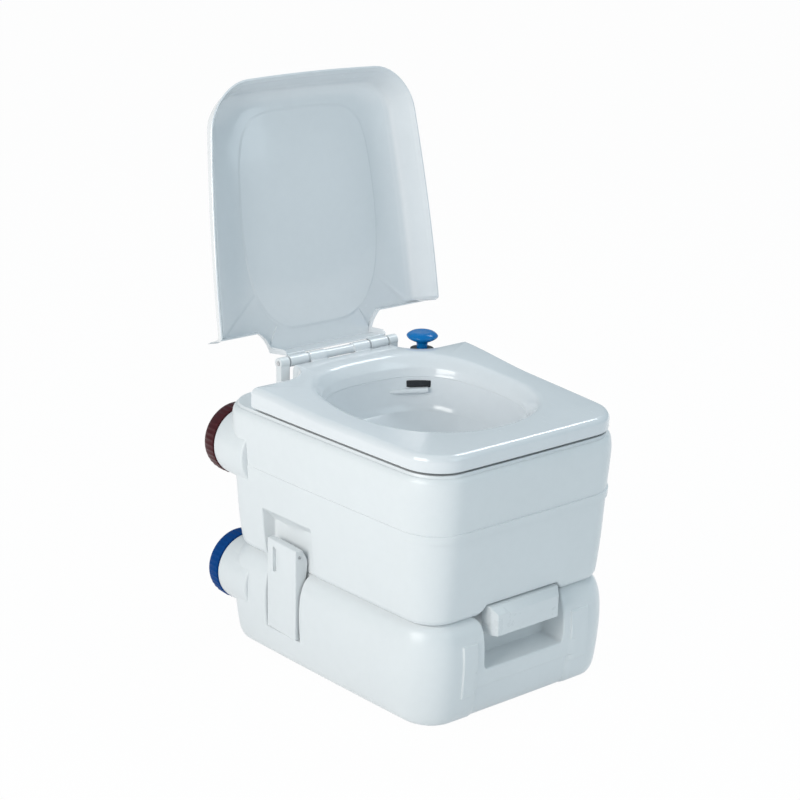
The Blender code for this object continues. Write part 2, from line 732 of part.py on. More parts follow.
def lid_plan(inset, z):
    return plan(
        inset, z, half=LID_HALF, front=LID_LENGTH - HINGE_Y, rear=HINGE_Y - BARREL_RADIUS - 2 * GAP,
        corner=LID_CORNER, rear_corner=LID_REAR_CORNER, taper=LID_TAPER, side_bow=LID_BOW,
        front_bow=LID_FRONT_BOW,
    )


def make_lid(material):
    lid = to_object("lid", skin([lid_plan(inset, HINGE_Z + rise) for inset, rise in LID_PROFILE]), material)
    low, high = HINGE_Z - 0.02, HINGE_Z + LID_DEPTH + 0.02
    corner_y = HINGE_Y - LID_CORNER_GAP
    cut_rear_corners(lid, LID_NOTCH, HINGE_Y, corner_y, low, high)
    levels = [(LID_WALL, -OVER)] + [(inset + LID_WALL, rise - LID_WALL) for inset, rise in LID_PROFILE[1:]]
    hollow = to_object("hollow", skin([lid_plan(inset, HINGE_Z + rise) for inset, rise in levels]))
    cut_rear_corners(hollow, LID_NOTCH + LID_WALL, HINGE_Y, corner_y - LID_WALL, low, high)
    combine(lid, "DIFFERENCE", hollow)
    for side in (-1, 1):
        combine(lid, "UNION", knuckle(
            side * 0.053, side * (TAB_HALF - 0.001), HINGE_Y - BARREL_RADIUS - LID_WALL,
            HINGE_Z + 0.0005, HINGE_Z + 0.0055,
        ))
    return lid


def open_lid(obj):
    """Turns a piece modelled on the closed lid to the open position, with its origin on the hinge."""
    rest_at(obj, (0, HINGE_Y, HINGE_Z))
    obj.data.transform(Matrix.Rotation(-LID_OPEN, 4, "X"))
    return obj


def make_hinge(white, steel):
    inner = TAB_HALF + PLAY
    outer = inner + BRACKET_WIDTH
    pin_end = outer + 0.001
    pin = rod("hinge_pin", PIN_RADIUS, (-pin_end, HINGE_Y, HINGE_Z), (pin_end, HINGE_Y, HINGE_Z), steel)
    smooth(pin)
    tank = bpy.data.objects["flush_tank"]
    foot, foot_top, rear = FLUSH_TOP + GAP, FLUSH_TOP + GAP + BRACKET_FOOT, HINGE_Y + 0.0045
    screw_y = HINGE_Y - 0.0145
    for number, (side, word) in enumerate(((-1, "left"), (1, "right")), 1):
        x = sorted((side * inner, side * outer))
        bracket = block(f"hinge_bracket_{word}", x, (HINGE_Y - 0.020, rear), (foot, foot_top), white)
        ear = block("ear", x, (HINGE_Y - BARREL_RADIUS * 0.9, rear), (foot + 0.001, HINGE_Z))
        combine(bracket, "UNION", ear, hinge_bar(BARREL_RADIUS, *x))
        combine(bracket, "DIFFERENCE", hinge_bar(PIN_RADIUS + GAP, x[0] - OVER, x[1] + OVER))
        middle = sum(x) / 2
        for piece in (bracket, tank):
            combine(piece, "DIFFERENCE", screw_hole(middle, screw_y, foot - OVER, foot + OVER))
        screw = turned(
            f"hinge_screw_{number}", screw_profile(foot_top + GAP, FLUSH_TOP - 0.006), steel, SCREW_STEPS
        )
        place(screw, Matrix.Translation((middle, screw_y, 0)))
        smooth(screw)
        smooth(bracket)
    smooth(tank)


def make_cap(prefix, x, z, plastic, rubber):
    end = NECK_END + GAP + GASKET + GAP
    outer_end = end + CAP_WALL
    inner = NECK_RADIUS + THREAD + 0.0008
    start = outer_end - CAP_LENGTH
    profile = [
        (0.0, end), (inner, end), (inner, start), (CAP_RADIUS - 0.001, start), (CAP_RADIUS, start + 0.0015),
        (CAP_RADIUS, outer_end - 0.002), (CAP_RADIUS - 0.002, outer_end), (0.0, outer_end),
    ]
    cap = turned(
        f"{prefix}_cap", profile, plastic, ribs=CAP_RIBS, rib_depth=0.0009, rib_from=CAP_RADIUS - 0.0015
    )
    low, high = NECK_END + GAP, end - GAP
    inside = NECK_RADIUS - 0.006
    section = [(NECK_RADIUS, low), (NECK_RADIUS, high), (inside, high), (inside, low)]
    gasket = turned(f"{prefix}_cap_gasket", section, rubber)
    for piece in (cap, gasket):
        place(piece, TO_REAR)
        piece.location = (x, 0, z)
        smooth(piece)
    return cap, gasket


def make_pump(blue, black, white, rubber, steel):
    here = Matrix.Translation((PUMP_X, PUMP_Y, 0))
    socket_top = FLUSH_TOP + 0.0065
    flange = FLUSH_TOP + GAP
    sleeve, slip = PUMP_RADIUS + GAP, PUMP_ROD + GAP
    rim, seal_low = PISTON_RADIUS, PISTON_Z + 0.0025
    seal_high, piston_top = PISTON_Z + 0.0055, PISTON_Z + 0.008
    valve_low, valve_top = CYLINDER_BASE - 0.012, CYLINDER_BASE - GAP
    pieces = {
        "pump_cylinder": ([
            (PUMP_RADIUS, CYLINDER_BASE), (PUMP_RADIUS, socket_top),
            (PUMP_BORE, socket_top), (PUMP_BORE, CYLINDER_BASE),
        ], white),
        "pump_collar": ([
            (sleeve, flange), (0.018, flange), (0.018, FLUSH_TOP + 0.003), (0.0155, FLUSH_TOP + 0.005),
            (0.0150, 0.345), (0.0165, COLLAR_TOP), (slip, COLLAR_TOP), (slip, socket_top + GAP),
            (sleeve, socket_top + GAP),
        ], black),
        "pump_knob": ([
            (slip, KNOB_LOW), (0.007, KNOB_LOW), (0.0075, 0.3610), (0.0150, 0.3625),
            (KNOB_RADIUS, 0.3665), (KNOB_RADIUS, ROD_TOP), (0.0165, 0.3745), (0.008, KNOB_TOP),
            (0.0005, KNOB_TOP + 0.0002), (0.0005, ROD_TOP + 0.0005), (slip, ROD_TOP + 0.0005),
        ], blue),
        "pump_rod": ([
            (0.0, PISTON_Z - 0.002), (PUMP_ROD, PISTON_Z - 0.002), (PUMP_ROD, ROD_TOP), (0.0, ROD_TOP),
        ], steel),
        "pump_piston": ([
            (slip, PISTON_Z), (rim, PISTON_Z), (rim, seal_low), (0.0095, seal_low),
            (0.0095, seal_high), (rim, seal_high), (rim, piston_top), (slip, piston_top),
        ], white),
        "pump_seal": ([
            (0.0098, seal_low + GAP), (0.0117, seal_low + GAP),
            (0.0117, seal_high - GAP), (0.0098, seal_high - GAP),
        ], rubber),
        "suction_valve": ([
            (0.004, valve_low), (0.0125, valve_low), (0.0125, valve_top), (0.004, valve_top),
        ], rubber),
    }
    for name, (profile, material) in pieces.items():
        piece = smooth(place(turned(name, profile, material, 20), here))
        if name in ("pump_knob", "pump_rod", "pump_piston", "pump_seal"):
            rest_at(piece, (PUMP_X, PUMP_Y, KNOB_LOW))


def make_latch(side, word, plastic, steel):
    """A lever that hangs on a pin in the flush tank and hooks under a catch on the waste tank."""
    def x_span(a, b):
        return sorted((side * a, side * b))

    lever = block(
        f"latch_{word}", x_span(LATCH_INNER, LATCH_OUTER), (LATCH_FRONT, LATCH_REAR),
        (LATCH_LOW, LATCH_HIGH), plastic,
    )
    bm = bmesh.new()
    bm.from_mesh(lever.data)
    bmesh.ops.bevel(
        bm, geom=bm.edges[:], offset=0.002, segments=2, profile=0.5, affect="EDGES", material=-1
    )
    bm.to_mesh(lever.data)
    bm.free()
    hook = block(
        "hook", x_span(LATCH_INNER - HOOK_REACH, LATCH_INNER + 0.004),
        (LATCH_FRONT + 0.012, LATCH_REAR - 0.012), (LATCH_LOW + 0.002, LATCH_LOW + 0.010),
    )
    combine(lever, "UNION", hook)
    finger_y, finger_z = LATCH_REAR - 0.022, LATCH_HIGH - 0.030
    finger = rod(
        "finger", 0.011, (side * (LATCH_OUTER + 0.005), finger_y, finger_z),
        (side * (LATCH_OUTER - 0.004), finger_y, finger_z),
    )
    _, front, rear, _ = UPPER_POCKET
    x, z = side * LATCH_PIN_X, LATCH_PIN_Z
    bore = rod(
        "bore", LATCH_PIN_RADIUS + GAP, (x, LATCH_FRONT - OVER, z), (x, LATCH_REAR + OVER, z), steps=16
    )
    combine(lever, "DIFFERENCE", finger, bore)
    pin = rod(
        f"latch_pin_{word}", LATCH_PIN_RADIUS, (x, front + GAP, z), (x, rear - GAP, z), steel, 16
    )
    smooth(pin)
    rest_at(smooth(lever), (x, (LATCH_FRONT + LATCH_REAR) / 2, z))


def make_bumpers(rubber):
    """Four pads under the seat's rim."""
    number = 0
    for side in (-1, 1):
        for y in (-0.110, 0.095):
            number += 1
            middle = (HALF_WIDTH - 0.018) * (1 + TAPER * y)
            low, high = SEAT_BASE - BUMPER + GAP, SEAT_TOP - SEAT_WALL - GAP
            section = [(0.0, low), (BUMPER_RADIUS, low), (BUMPER_RADIUS, high), (0.0, high)]
            pad = turned(f"seat_bumper_{number}", section, rubber, 16)
            place(pad, Matrix.Translation((side * middle, y, 0)))
            smooth(rest_at(pad, (0, HINGE_Y, HINGE_Z)))


def main():
    clear_scene()
    white = finish_material("white_plastic", (0.80, 0.82, 0.83), 0.35)
    glossy = finish_material("glossy_white_plastic", (0.80, 0.82, 0.84), 0.18)
    grey = finish_material("grey_plastic", (0.55, 0.57, 0.58), 0.45)
    blue = finish_material("blue_plastic", (0.01, 0.13, 0.45), 0.30)
    red = finish_material("dark_red_plastic", (0.16, 0.03, 0.035), 0.40)
    black = finish_material("black_plastic", (0.02, 0.02, 0.025), 0.45)
    rubber = finish_material("rubber", (0.04, 0.04, 0.04), 0.75)
    steel = finish_material("stainless_steel", (0.60, 0.61, 0.62), 0.30, 1.0)
    make_waste_tank(white)
    make_flush_tank(white)
    make_bowl(glossy)
    make_flush_line(grey, rubber)
    make_valve(white, grey, rubber, steel)
    make_seat(glossy)
    open_lid(smooth(make_lid(glossy)))
    make_hinge(white, steel)
    make_cap("fill", FILL_X, FILL_Z, red, rubber)
    make_cap("drain", DRAIN_X, DRAIN_Z, blue, rubber)
    make_pump(blue, black, white, rubber, steel)
    make_latch(-1, "left", white, steel)
    make_latch(1, "right", white, steel)
    make_bumpers(rubber)


main()
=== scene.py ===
"""Portable camp toilet: detailed pieces, finishes, floor, light and camera round its CAD frame.

Metres, +Z up. The front, with the valve handle, faces -Y, and the lid is shown open.
"""

import math

import bmesh
import bpy
from mathutils import Matrix, Vector


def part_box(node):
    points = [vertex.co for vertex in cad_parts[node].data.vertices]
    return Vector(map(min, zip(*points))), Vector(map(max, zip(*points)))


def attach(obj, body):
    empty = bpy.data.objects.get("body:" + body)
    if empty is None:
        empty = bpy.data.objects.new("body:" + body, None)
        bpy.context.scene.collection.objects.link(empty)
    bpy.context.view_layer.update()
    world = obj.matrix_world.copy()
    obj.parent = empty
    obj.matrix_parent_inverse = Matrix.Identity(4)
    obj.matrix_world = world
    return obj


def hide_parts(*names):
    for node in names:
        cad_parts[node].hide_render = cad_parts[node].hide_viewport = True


bl_info = {
    "name": "Portable Camp Toilet",
    "version": (1, 0, 0),
    "blender": (4, 5, 0),
    "location": "3D View > Sidebar > Camp Toilet",
    "description": "Builds a portable camp toilet's visible pieces, finishes and studio",
    "category": "Object",
}

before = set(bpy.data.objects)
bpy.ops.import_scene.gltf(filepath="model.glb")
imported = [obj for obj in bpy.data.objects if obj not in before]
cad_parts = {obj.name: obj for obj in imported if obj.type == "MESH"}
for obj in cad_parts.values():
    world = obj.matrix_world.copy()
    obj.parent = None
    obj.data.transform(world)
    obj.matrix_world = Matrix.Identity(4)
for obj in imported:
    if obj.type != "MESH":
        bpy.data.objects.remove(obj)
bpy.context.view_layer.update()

# Places that the frame's moving pieces fix
HINGE_Y, HINGE_Z = 0.203, 0.366
LID_OPEN = math.radians(99.5)
VALVE_Y = -0.020
GAP = 0.0003

# Round necks that point to the rear: (x, z) of each
FILL_NECK = (-0.148, 0.267)
DRAIN_NECK = (-0.143, 0.085)
NECK_RADIUS, NECK_END = 0.0395, 0.2295
SHOULDER_RADIUS, SHOULDER_END = 0.0465, 0.2148
NECK_START = 0.150

# The seat's hole: half its width, its front and rear ends, and its widest place
HOLE_HALF, HOLE_FRONT, HOLE_REAR, HOLE_Y = 0.127, -0.132, 0.152, 0.012
OUTLET_RADIUS = 0.037

# Barrels on the hinge pin
BARREL = 0.0075
SMOOTH_DEGREES = 32

# Close stations round an edge, from outside it to inside it
EDGE_STEPS = (-0.0024, -0.0015, -0.0008, -0.0003, -0.0001, 0.0001, 0.0003, 0.0008, 0.0015, 0.0024)
LIP = 0.0024

# Outer profiles: (inset from the plan, height)
WASTE_PROFILE = (
    (0.022, 0.0), (0.014, 0.0025), (0.0095, 0.008), (0.006, 0.020), (0.0025, 0.05),
    (0.0010, 0.08), (0.0025, 0.105), (0.0065, 0.120), (0.012, 0.129), (0.020, 0.134),
)
FLUSH_PROFILE = (
    (0.024, 0.1343), (0.016, 0.1368), (0.0115, 0.1415), (0.0095, 0.150), (0.0055, 0.190),
    (0.0015, 0.2566), (-0.001, 0.290), (-0.002, 0.312), (-0.0005, 0.324), (0.0025, 0.3295),
    (0.0045, 0.3305), (0.006, 0.3335),
)
LID_PROFILE = (
    (0.0, 0.0), (0.0055, 0.012), (0.0105, 0.0225), (0.0145, 0.031), (0.0185, 0.0368),
    (0.026, 0.040),
)
BOWL_LEVELS = (
    (0.0, 0.3275), (0.03, 0.300), (0.06, 0.290), (0.12, 0.284), (0.33, 0.262),
    (0.58, 0.235), (0.80, 0.205), (0.95, 0.180), (1.0, 0.165), (1.0, 0.1343),
)


# ================================================================ sizes and colours
def length(name, description, default):
    return bpy.props.FloatProperty(
        name=name, description=description, default=default, min=0.0, unit="LENGTH"
    )


def colour(name, description, default):
    return bpy.props.FloatVectorProperty(
        name=name, description=description, default=default, subtype="COLOR", min=0, max=1
    )


class TankSizes(bpy.types.PropertyGroup):
    """The rounded plan shared by both tanks."""
    half_width: length("Half Width", "Half the rim's width at mid length", 0.1725)
    front: length("Front", "From the middle to the front", 0.191)
    rear: length("Rear", "From the middle to the rear", 0.213)
    corner: length("Corner", "Plan radius of the corners", 0.051)
    taper: bpy.props.FloatProperty(
        name="Taper", description="Widening toward the rear, per metre", default=0.46)
    side_bow: bpy.props.FloatProperty(
        name="Side Bow", description="Share by which the sides bow out", default=0.011)
    front_bow: bpy.props.FloatProperty(
        name="Front Bow", description="Share by which the front bows out", default=0.0085)
    band_height: length("Band", "How far the flush tank's band stands proud", 0.0019)
    pad_height: length("Pad", "How far the waste tank's front pads stand proud", 0.0023)


class SeatSizes(bpy.types.PropertyGroup):
    """The seat, its hole and the lid."""
    base: length("Base", "Height of the seat's underside", 0.337)
    top: length("Top", "Height of the seat's front", 0.3585)
    rise: length("Rise", "How much the seat rises to the rear", 0.006)
    edge: length("Edge", "Radius of the seat's outer edge", 0.009)
    lid_half: length("Lid Half Width", "Half the lid's width", 0.171)
    lid_length: length("Lid Length", "From the hinge to the lid's front", 0.370)
    lid_wall: length("Lid Wall", "Thickness of the lid", 0.003)


class Finishes(bpy.types.PropertyGroup):
    """Colours of the plastics."""
    white: colour("White", "Both tanks and the handle", (0.80, 0.82, 0.83))
    glossy: colour("Glossy White", "Seat, lid and bowl", (0.80, 0.82, 0.84))
    blue: colour("Blue", "Drain cap", (0.001, 0.055, 0.235))
    knob: colour("Knob Blue", "Pump knob", (0.001, 0.175, 0.50))
    red: colour("Dark Red", "Fill cap", (0.062, 0.007, 0.010))


def tank_sizes():
    return bpy.context.scene.toilet_tank


def seat_sizes():
    return bpy.context.scene.toilet_seat


# ================================================================ materials
class Signal:
    """An output in a material's node tree; arithmetic on it adds Math nodes."""

    def __init__(self, tree, socket=None):
        self.tree, self.socket = tree, socket

    def node(self, kind, settings=(), inputs=(), output=0):
        """Adds a node, sets its settings, then its sockets' values or links."""
        node = self.tree.nodes.new(kind)
        for name, value in dict(settings).items():
            if name == "stops":
                ramp = node.color_ramp
                while len(ramp.elements) < len(value):
                    ramp.elements.new(0.5)
                for element, (place, shade) in zip(ramp.elements, value):
                    element.position = place
                    element.color = (shade, shade, shade, 1.0)
            else:
                setattr(node, name, value)
        for name, value in dict(inputs).items():
            if isinstance(value, Signal):
                self.tree.links.new(value.socket, node.inputs[name])
            else:
                node.inputs[name].default_value = value
        return Signal(self.tree, node.outputs[output])

    def math(self, operation, first, second):
        return self.node("ShaderNodeMath", {"operation": operation}, {0: first, 1: second})

    def __add__(self, other):
        return self.math("ADD", self, other)

    __radd__ = __add__

    def __mul__(self, other):
        return self.math("MULTIPLY", self, other)

    __rmul__ = __mul__

    def __sub__(self, other):
        return self.math("SUBTRACT", self, other)

    def __rsub__(self, other):
        return self.math("SUBTRACT", other, self)


def noise(start, where, scale, detail=3.0):
    return start.node(
        "ShaderNodeTexNoise", {},
        {"Vector": where, "Scale": scale, "Detail": detail, "Roughness": 0.55},
    )


def finish(name, colour, roughness, coat=0.0, metallic=0.0, grain=0.00004, grain_scale=700.0,
           mottle=0.03, scuffs=0.10, specular=0.5, brushed=False):
    """A moulded or machined finish: mottling, uneven gloss, scuffs and a fine surface grain."""
    material = bpy.data.materials.new(name)
    material.use_nodes = True
    tree = material.node_tree
    shader = tree.nodes["Principled BSDF"]
    start = Signal(tree)
    where = start.node("ShaderNodeTexCoord", output="Object")
    if brushed:
        where = start.node("ShaderNodeMapping", {}, {"Vector": where, "Scale": (0.06, 1.0, 1.0)})
    broad = noise(start, where, 9.0, 4.0)
    fine = noise(start, where, 85.0, 5.0)
    drawn_out = {"Vector": where, "Rotation": (0.4, 0.2, 0.7), "Scale": (1.0, 0.08, 1.0)}
    scratch = noise(start, start.node("ShaderNodeMapping", {}, drawn_out), 260.0, 2.0)
    worn = start.node(
        "ShaderNodeValToRGB", {"stops": ((0.60, 0.0), (0.74, 1.0))}, {"Fac": scratch}
    )
    shade = broad * 0.6 + fine * 0.4
    darker = tuple(value * (1 - 2 * mottle) for value in colour) + (1.0,)
    lighter = tuple(min(1.0, value * (1 + mottle)) for value in colour) + (1.0,)
    base = start.node(
        "ShaderNodeMix", {"data_type": "RGBA"}, {0: shade, 6: darker, 7: lighter}, output=2
    )
    tree.links.new(base.socket, shader.inputs["Base Color"])
    gloss = shade * 0.10 + worn * scuffs + (roughness - 0.05)
    tree.links.new(gloss.socket, shader.inputs["Roughness"])
    shader.inputs["Metallic"].default_value = metallic
    shader.inputs["Specular IOR Level"].default_value = specular
    shader.inputs["Coat Weight"].default_value = coat
    shader.inputs["Coat Roughness"].default_value = 0.06
    grained = noise(start, where, grain_scale, 2.0)
    bump = start.node(
        "ShaderNodeBump", {}, {"Height": grained + broad * 0.5, "Strength": 1.0, "Distance": grain}
    )
    tree.links.new(bump.socket, shader.inputs["Normal"])
    material.diffuse_color = (*colour, 1.0)
    return material


def make_finishes():
    """Every finish by name, made once."""
    colours = bpy.context.scene.toilet_finishes
    white, glossy = tuple(colours.white), tuple(colours.glossy)
    return {
        "white": finish("blow_moulded_white", white, 0.34, coat=0.12),
        "glossy": finish("glossy_white", glossy, 0.17, coat=0.5, grain=0.000015, grain_scale=350.0),
        "handle": finish("handle_white", white, 0.28, coat=0.2, grain=0.00003),
        "grey": finish("grey_moulding", (0.50, 0.52, 0.53), 0.45),
        "blue": finish("blue_moulding", tuple(colours.blue), 0.50, mottle=0.06, specular=0.10),
        "knob": finish(
            "glossy_blue_moulding", tuple(colours.knob), 0.16, mottle=0.05, specular=0.3
        ),
        "red": finish("dark_red_moulding", tuple(colours.red), 0.38, mottle=0.08, specular=0.3),
        # Near-black painted shade for the dark inside the flush slot and under the pump knob's
        # neck, not a black plastic
        "black": finish("black_moulding", (0.016, 0.017, 0.020), 0.42, mottle=0.10),
        "rubber": finish("soft_rubber", (0.030, 0.030, 0.032), 0.78, mottle=0.12, grain=0.00012),
        "steel": finish(
            "brushed_steel", (0.60, 0.61, 0.62), 0.26, metallic=1.0, grain=0.00002, brushed=True
        ),
    }


MADE = {}


def finishes():
    if not MADE:
        MADE.update(make_finishes())
    return MADE


# ================================================================ mesh tools
def ring_edges(bm, ring):
    return [bm.edges.get((a, b)) for a, b in zip(ring, ring[1:] + ring[:1])]


def start_ring(bm, points):
    """A circle whose corners are moved to the points."""
    ring = bmesh.ops.create_circle(bm, cap_ends=False, radius=1.0, segments=len(points))["verts"]
    for vert, point in zip(ring, points):
        vert.co = point
    return ring


def next_ring(bm, ring, points):
    """Extrudes the ring's edges and moves the new corners to the points."""
    made = bmesh.ops.extrude_edge_only(bm, edges=ring_edges(bm, ring))["geom"]
    fresh = {item for item in made if isinstance(item, bmesh.types.BMVert)}
    grown = [
        next(edge.other_vert(vert) for edge in vert.link_edges if edge.other_vert(vert) in fresh)
        for vert in ring
    ]
    for vert, point in zip(grown, points):
        vert.co = point
    return grown


def loft(bm, rings, closed=False):
    """A skin through rings of equal length, with capped ends or its last ring on its first."""
    first = ring = start_ring(bm, rings[0])
    for points in rings[1:]:
        ring = next_ring(bm, ring, points)
    if closed:
        bmesh.ops.bridge_loops(bm, edges=ring_edges(bm, first) + ring_edges(bm, ring))
    else:
        for end in (first, ring):
            bmesh.ops.holes_fill(bm, edges=ring_edges(bm, end), sides=0)
    return bm


def bar(bm, radius, start, end, steps=32):
    """A round bar between two points, as its own shell."""
    start, end = Vector(start), Vector(end)
    along = end - start
    turn = along.to_track_quat("Z", "Y").to_matrix().to_4x4()
    bmesh.ops.create_cone(
        bm, cap_ends=True, segments=steps, radius1=radius, radius2=radius, depth=along.length,
        matrix=Matrix.Translation((start + end) / 2) @ turn,
    )


def block(bm, x, y, z, bevel=0.0, segments=3):
    """A box between the two values of each of x, y and z, with rounded edges."""
    spans = (x, y, z)
    middle = Vector([(low + high) / 2 for low, high in spans])
    scale = Matrix.Diagonal([high - low for low, high in spans]).to_4x4()
    verts = bmesh.ops.create_cube(bm, size=1.0, matrix=Matrix.Translation(middle) @ scale)["verts"]
    if bevel:
        edges = list({edge for vert in verts for edge in vert.link_edges})
        round_edges(bm, edges, bevel, segments)


def round_edges(bm, edges, offset, segments=3):
    bmesh.ops.bevel(
        bm, geom=list(edges), offset=offset, segments=segments, profile=0.5, affect="EDGES",
        material=-1, clamp_overlap=True,
    )


def sharp_edges(bm, degrees=30):
    limit = math.radians(degrees)
    return [e for e in bm.edges if len(e.link_faces) == 2 and e.calc_face_angle(0.0) > limit]


def spun(bm, profile, centre, axis=(0, 0, 1), steps=64):
    """A turned shape from (radius, height) pairs that start and end on the axis."""
    axis = Vector(axis)
    across = Vector((1, 0, 0)) if abs(axis.x) < 0.5 else Vector((0, 1, 0))
    centre = Vector(centre)
    points = [centre + across * radius + axis * height for radius, height in profile]
    verts = [bmesh.ops.create_vert(bm, co=point)["vert"][0] for point in points]
    pairs = zip(verts, verts[1:])
    edges = [bmesh.ops.contextual_create(bm, geom=pair)["edges"][0] for pair in pairs]
    bmesh.ops.spin(
        bm, geom=verts + edges, cent=centre, axis=axis, angle=2 * math.pi, steps=steps,
        use_merge=True,
    )
    bmesh.ops.remove_doubles(bm, verts=bm.verts[:], dist=0.00001)


def barrel(bm, x_low, x_high, radius=BARREL):
    """A bar round the hinge pin."""
    bar(bm, radius, (x_low, HINGE_Y, HINGE_Z), (x_high, HINGE_Y, HINGE_Z), 40)


def arc_points(count, start, end):
    return [math.radians(start + (end - start) * step / count) for step in range(count + 1)]


def link(name, data):
    """A new object in the scene, which shows the mesh, lamp or camera."""
    made = bpy.data.objects.new(name, data)
    bpy.context.scene.collection.objects.link(made)
    return made


def to_piece(name, bm, material, body, replaces=(), degrees=SMOOTH_DEGREES):
    """Makes the finished piece, which rides on a body and stands for the named frame nodes."""
    bmesh.ops.recalc_face_normals(bm, faces=bm.faces[:])
    mesh = bpy.data.meshes.new(name)
    bm.to_mesh(mesh)
    bm.free()
    piece = link(name, mesh)
    mesh.materials.append(material)
    mesh.shade_smooth()
    mesh.set_sharp_from_angle(angle=math.radians(degrees))
    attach(piece, body)
    if replaces:
        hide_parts(*replaces)
    return piece


def cut(piece, *tools, operation="DIFFERENCE"):
    """Applies a Boolean with each tool's bmesh to a piece."""
    for tool in tools:
        bmesh.ops.recalc_face_normals(tool, faces=tool.faces[:])
        mesh = bpy.data.meshes.new("tool")
        tool.to_mesh(mesh)
        tool.free()
        helper = link("tool", mesh)
        modifier = piece.modifiers.new("cut", "BOOLEAN")
        modifier.operation, modifier.object = operation, helper
        bpy.context.view_layer.update()
        graph = bpy.context.evaluated_depsgraph_get()
        shaped = bpy.data.meshes.new_from_object(piece.evaluated_get(graph))
        piece.modifiers.clear()
        piece.data = shaped
        bpy.data.objects.remove(helper, do_unlink=True)
        bpy.data.meshes.remove(mesh)
    piece.data.set_sharp_from_angle(angle=math.radians(SMOOTH_DEGREES))


# ================================================================ plan shapes
def curve_through(points, steps=10):
    """Points on a smooth curve through pairs of numbers."""
    out = []
    for i in range(len(points) - 1):
        a, b = Vector(points[max(i - 1, 0)]), Vector(points[i])
        c, d = Vector(points[i + 1]), Vector(points[min(i + 2, len(points) - 1)])
        for step in range(steps):
            t = step / steps
            out.append((
                b * 2 + (c - a) * t + (a * 2 - b * 5 + c * 4 - d) * t * t
                + (b * 3 - a - c * 3 + d) * t ** 3
            ) / 2)
    out.append(Vector(points[-1]))
    return [tuple(point) for point in out]


def inset_at(curve, height):
    for (a, low), (b, high) in zip(curve, curve[1:]):
        if low <= height <= high:
            return a + (b - a) * (height - low) / max(high - low, 1e-9)
    return curve[-1][0] if height > curve[-1][1] else curve[0][0]


def stations(low, high, edges, spacing):
    """Places from low to high, close together round each edge."""
    marks = {low, high}
    marks.update(edge + step for edge in edges for step in EDGE_STEPS if low < edge + step < high)
    marks = sorted(marks)
    out = [marks[0]]
    for a, b in zip(marks, marks[1:]):
        count = max(1, math.ceil((b - a) / spacing))
        out += [a + (b - a) * i / count for i in range(1, count + 1)]
    return out


def levels(curve, edges, spacing=0.006):
    """Heights for a tank's rings: close at its rounded ends and round each edge."""
    low, high = curve[0][1], curve[-1][1]
    heights = set(stations(low, high, edges, spacing))
    for (a, z), (b, z_next) in zip(curve, curve[1:]):
        if abs(b - a) > 0.25 * (z_next - z):
            heights.update((z, z_next))
    kept = []
    for z in sorted(heights):
        if not kept or z - kept[-1] > 0.00008:
            kept.append(z)
    return kept


def step_up(value, start, end):
    """0 at start and 1 at end, with a smooth change between."""
    share = min(max((value - start) / (end - start), 0.0), 1.0)
    return share * share * (3 - 2 * share)


def dent_depth(inside, depth, lip=LIP):
    """Depth at a distance inside a dent's edge, with a rounded lip and a rounded foot."""
    if depth <= 0.0 or inside <= -lip:
        return 0.0
    if inside >= lip:
        return depth
    turn = min(lip * 1.2, depth / 2)
    reach = abs(inside) / lip
    rounded = turn * (1 - math.sqrt(max(0.0, 1 - (1 - reach) ** 2)))
    return rounded if inside < 0 else depth - rounded


def bend_plan(x, y):
    """Widens the tanks' plan toward the rear and bows its sides and front."""
    size = tank_sizes()
    middle = (size.rear - size.front) / 2
    along = (y - middle) / ((size.rear + size.front) / 2)
    wide = x * (1 + size.taper * y) * (1 + size.side_bow * (1 - along * along))
    across = x / size.half_width
    deep = y * (1 + size.front_bow * (1 - across * across)) if y < 0 else y
    return wide, deep


def tank_ring(inset, front_places, side_places, corner_steps=14):
    """The tanks' rounded plan, set in by inset, with corners at the given places on its sides."""
    size = tank_sizes()
    half, y_low, y_high = size.half_width - inset, -size.front + inset, size.rear - inset
    radius = size.corner - inset
    flat = []

    def corner(cx, cy, start):
        for angle in arc_points(corner_steps, start, start + 90)[1:-1]:
            flat.append((cx + radius * math.cos(angle), cy + radius * math.sin(angle)))

    widen = 1 + size.taper * y_low
    end = half - radius
    fronts = [max(-end, min(end, x / widen)) for x in front_places]
    fronts = [-end, *fronts[1:-1], end]
    flat += [(x, y_low) for x in fronts]
    corner(end, y_low + radius, -90)
    sides = [y_low + radius, *side_places[1:-1], y_high - radius]
    flat += [(half, y) for y in sides]
    corner(end, y_high - radius, 0)
    flat += [(end * (1 - 2 * i / 30), y_high) for i in range(31)]
    corner(-end, y_high - radius, 90)
    flat += [(-half, y) for y in reversed(sides)]
    corner(-end, y_low + radius, 180)
    return [Vector((*bend_plan(x, y), 0.0)) for x, y in flat]


def oval(grow, z, angles):
    """The seat hole's egg shape at height z, grown outward by grow."""
    ring = []
    for angle in angles:
        c, s = math.cos(angle), math.sin(angle)
        power = 2 / 2.25 if s < 0 else 2 / 2.7
        reach = (HOLE_Y - HOLE_FRONT if s < 0 else HOLE_REAR - HOLE_Y) + grow
        ring.append(Vector((
            (HOLE_HALF + grow) * math.copysign(abs(c) ** power, c),
            HOLE_Y + reach * math.copysign(abs(s) ** power, s), z,
        )))
    return ring


def angles_of(ring):
    """Where each corner of a ring lies round the seat hole."""
    middle = (HOLE_REAR - HOLE_FRONT) / 2
    return [math.atan2((point.y - HOLE_Y) / middle, point.x / HOLE_HALF) for point in ring]


def bowl_ring(share, z, offset, angles):
    """Between the top oval (share 0) and the round outlet (share 1)."""
    radius = OUTLET_RADIUS + offset
    return [
        point.lerp(Vector((radius * math.cos(a), VALVE_Y + radius * math.sin(a), z)), share)
        for point, a in zip(oval(-0.010 + offset, z, angles), angles)
    ]


def even_angles(count):
    return [2 * math.pi * i / count for i in range(count)]


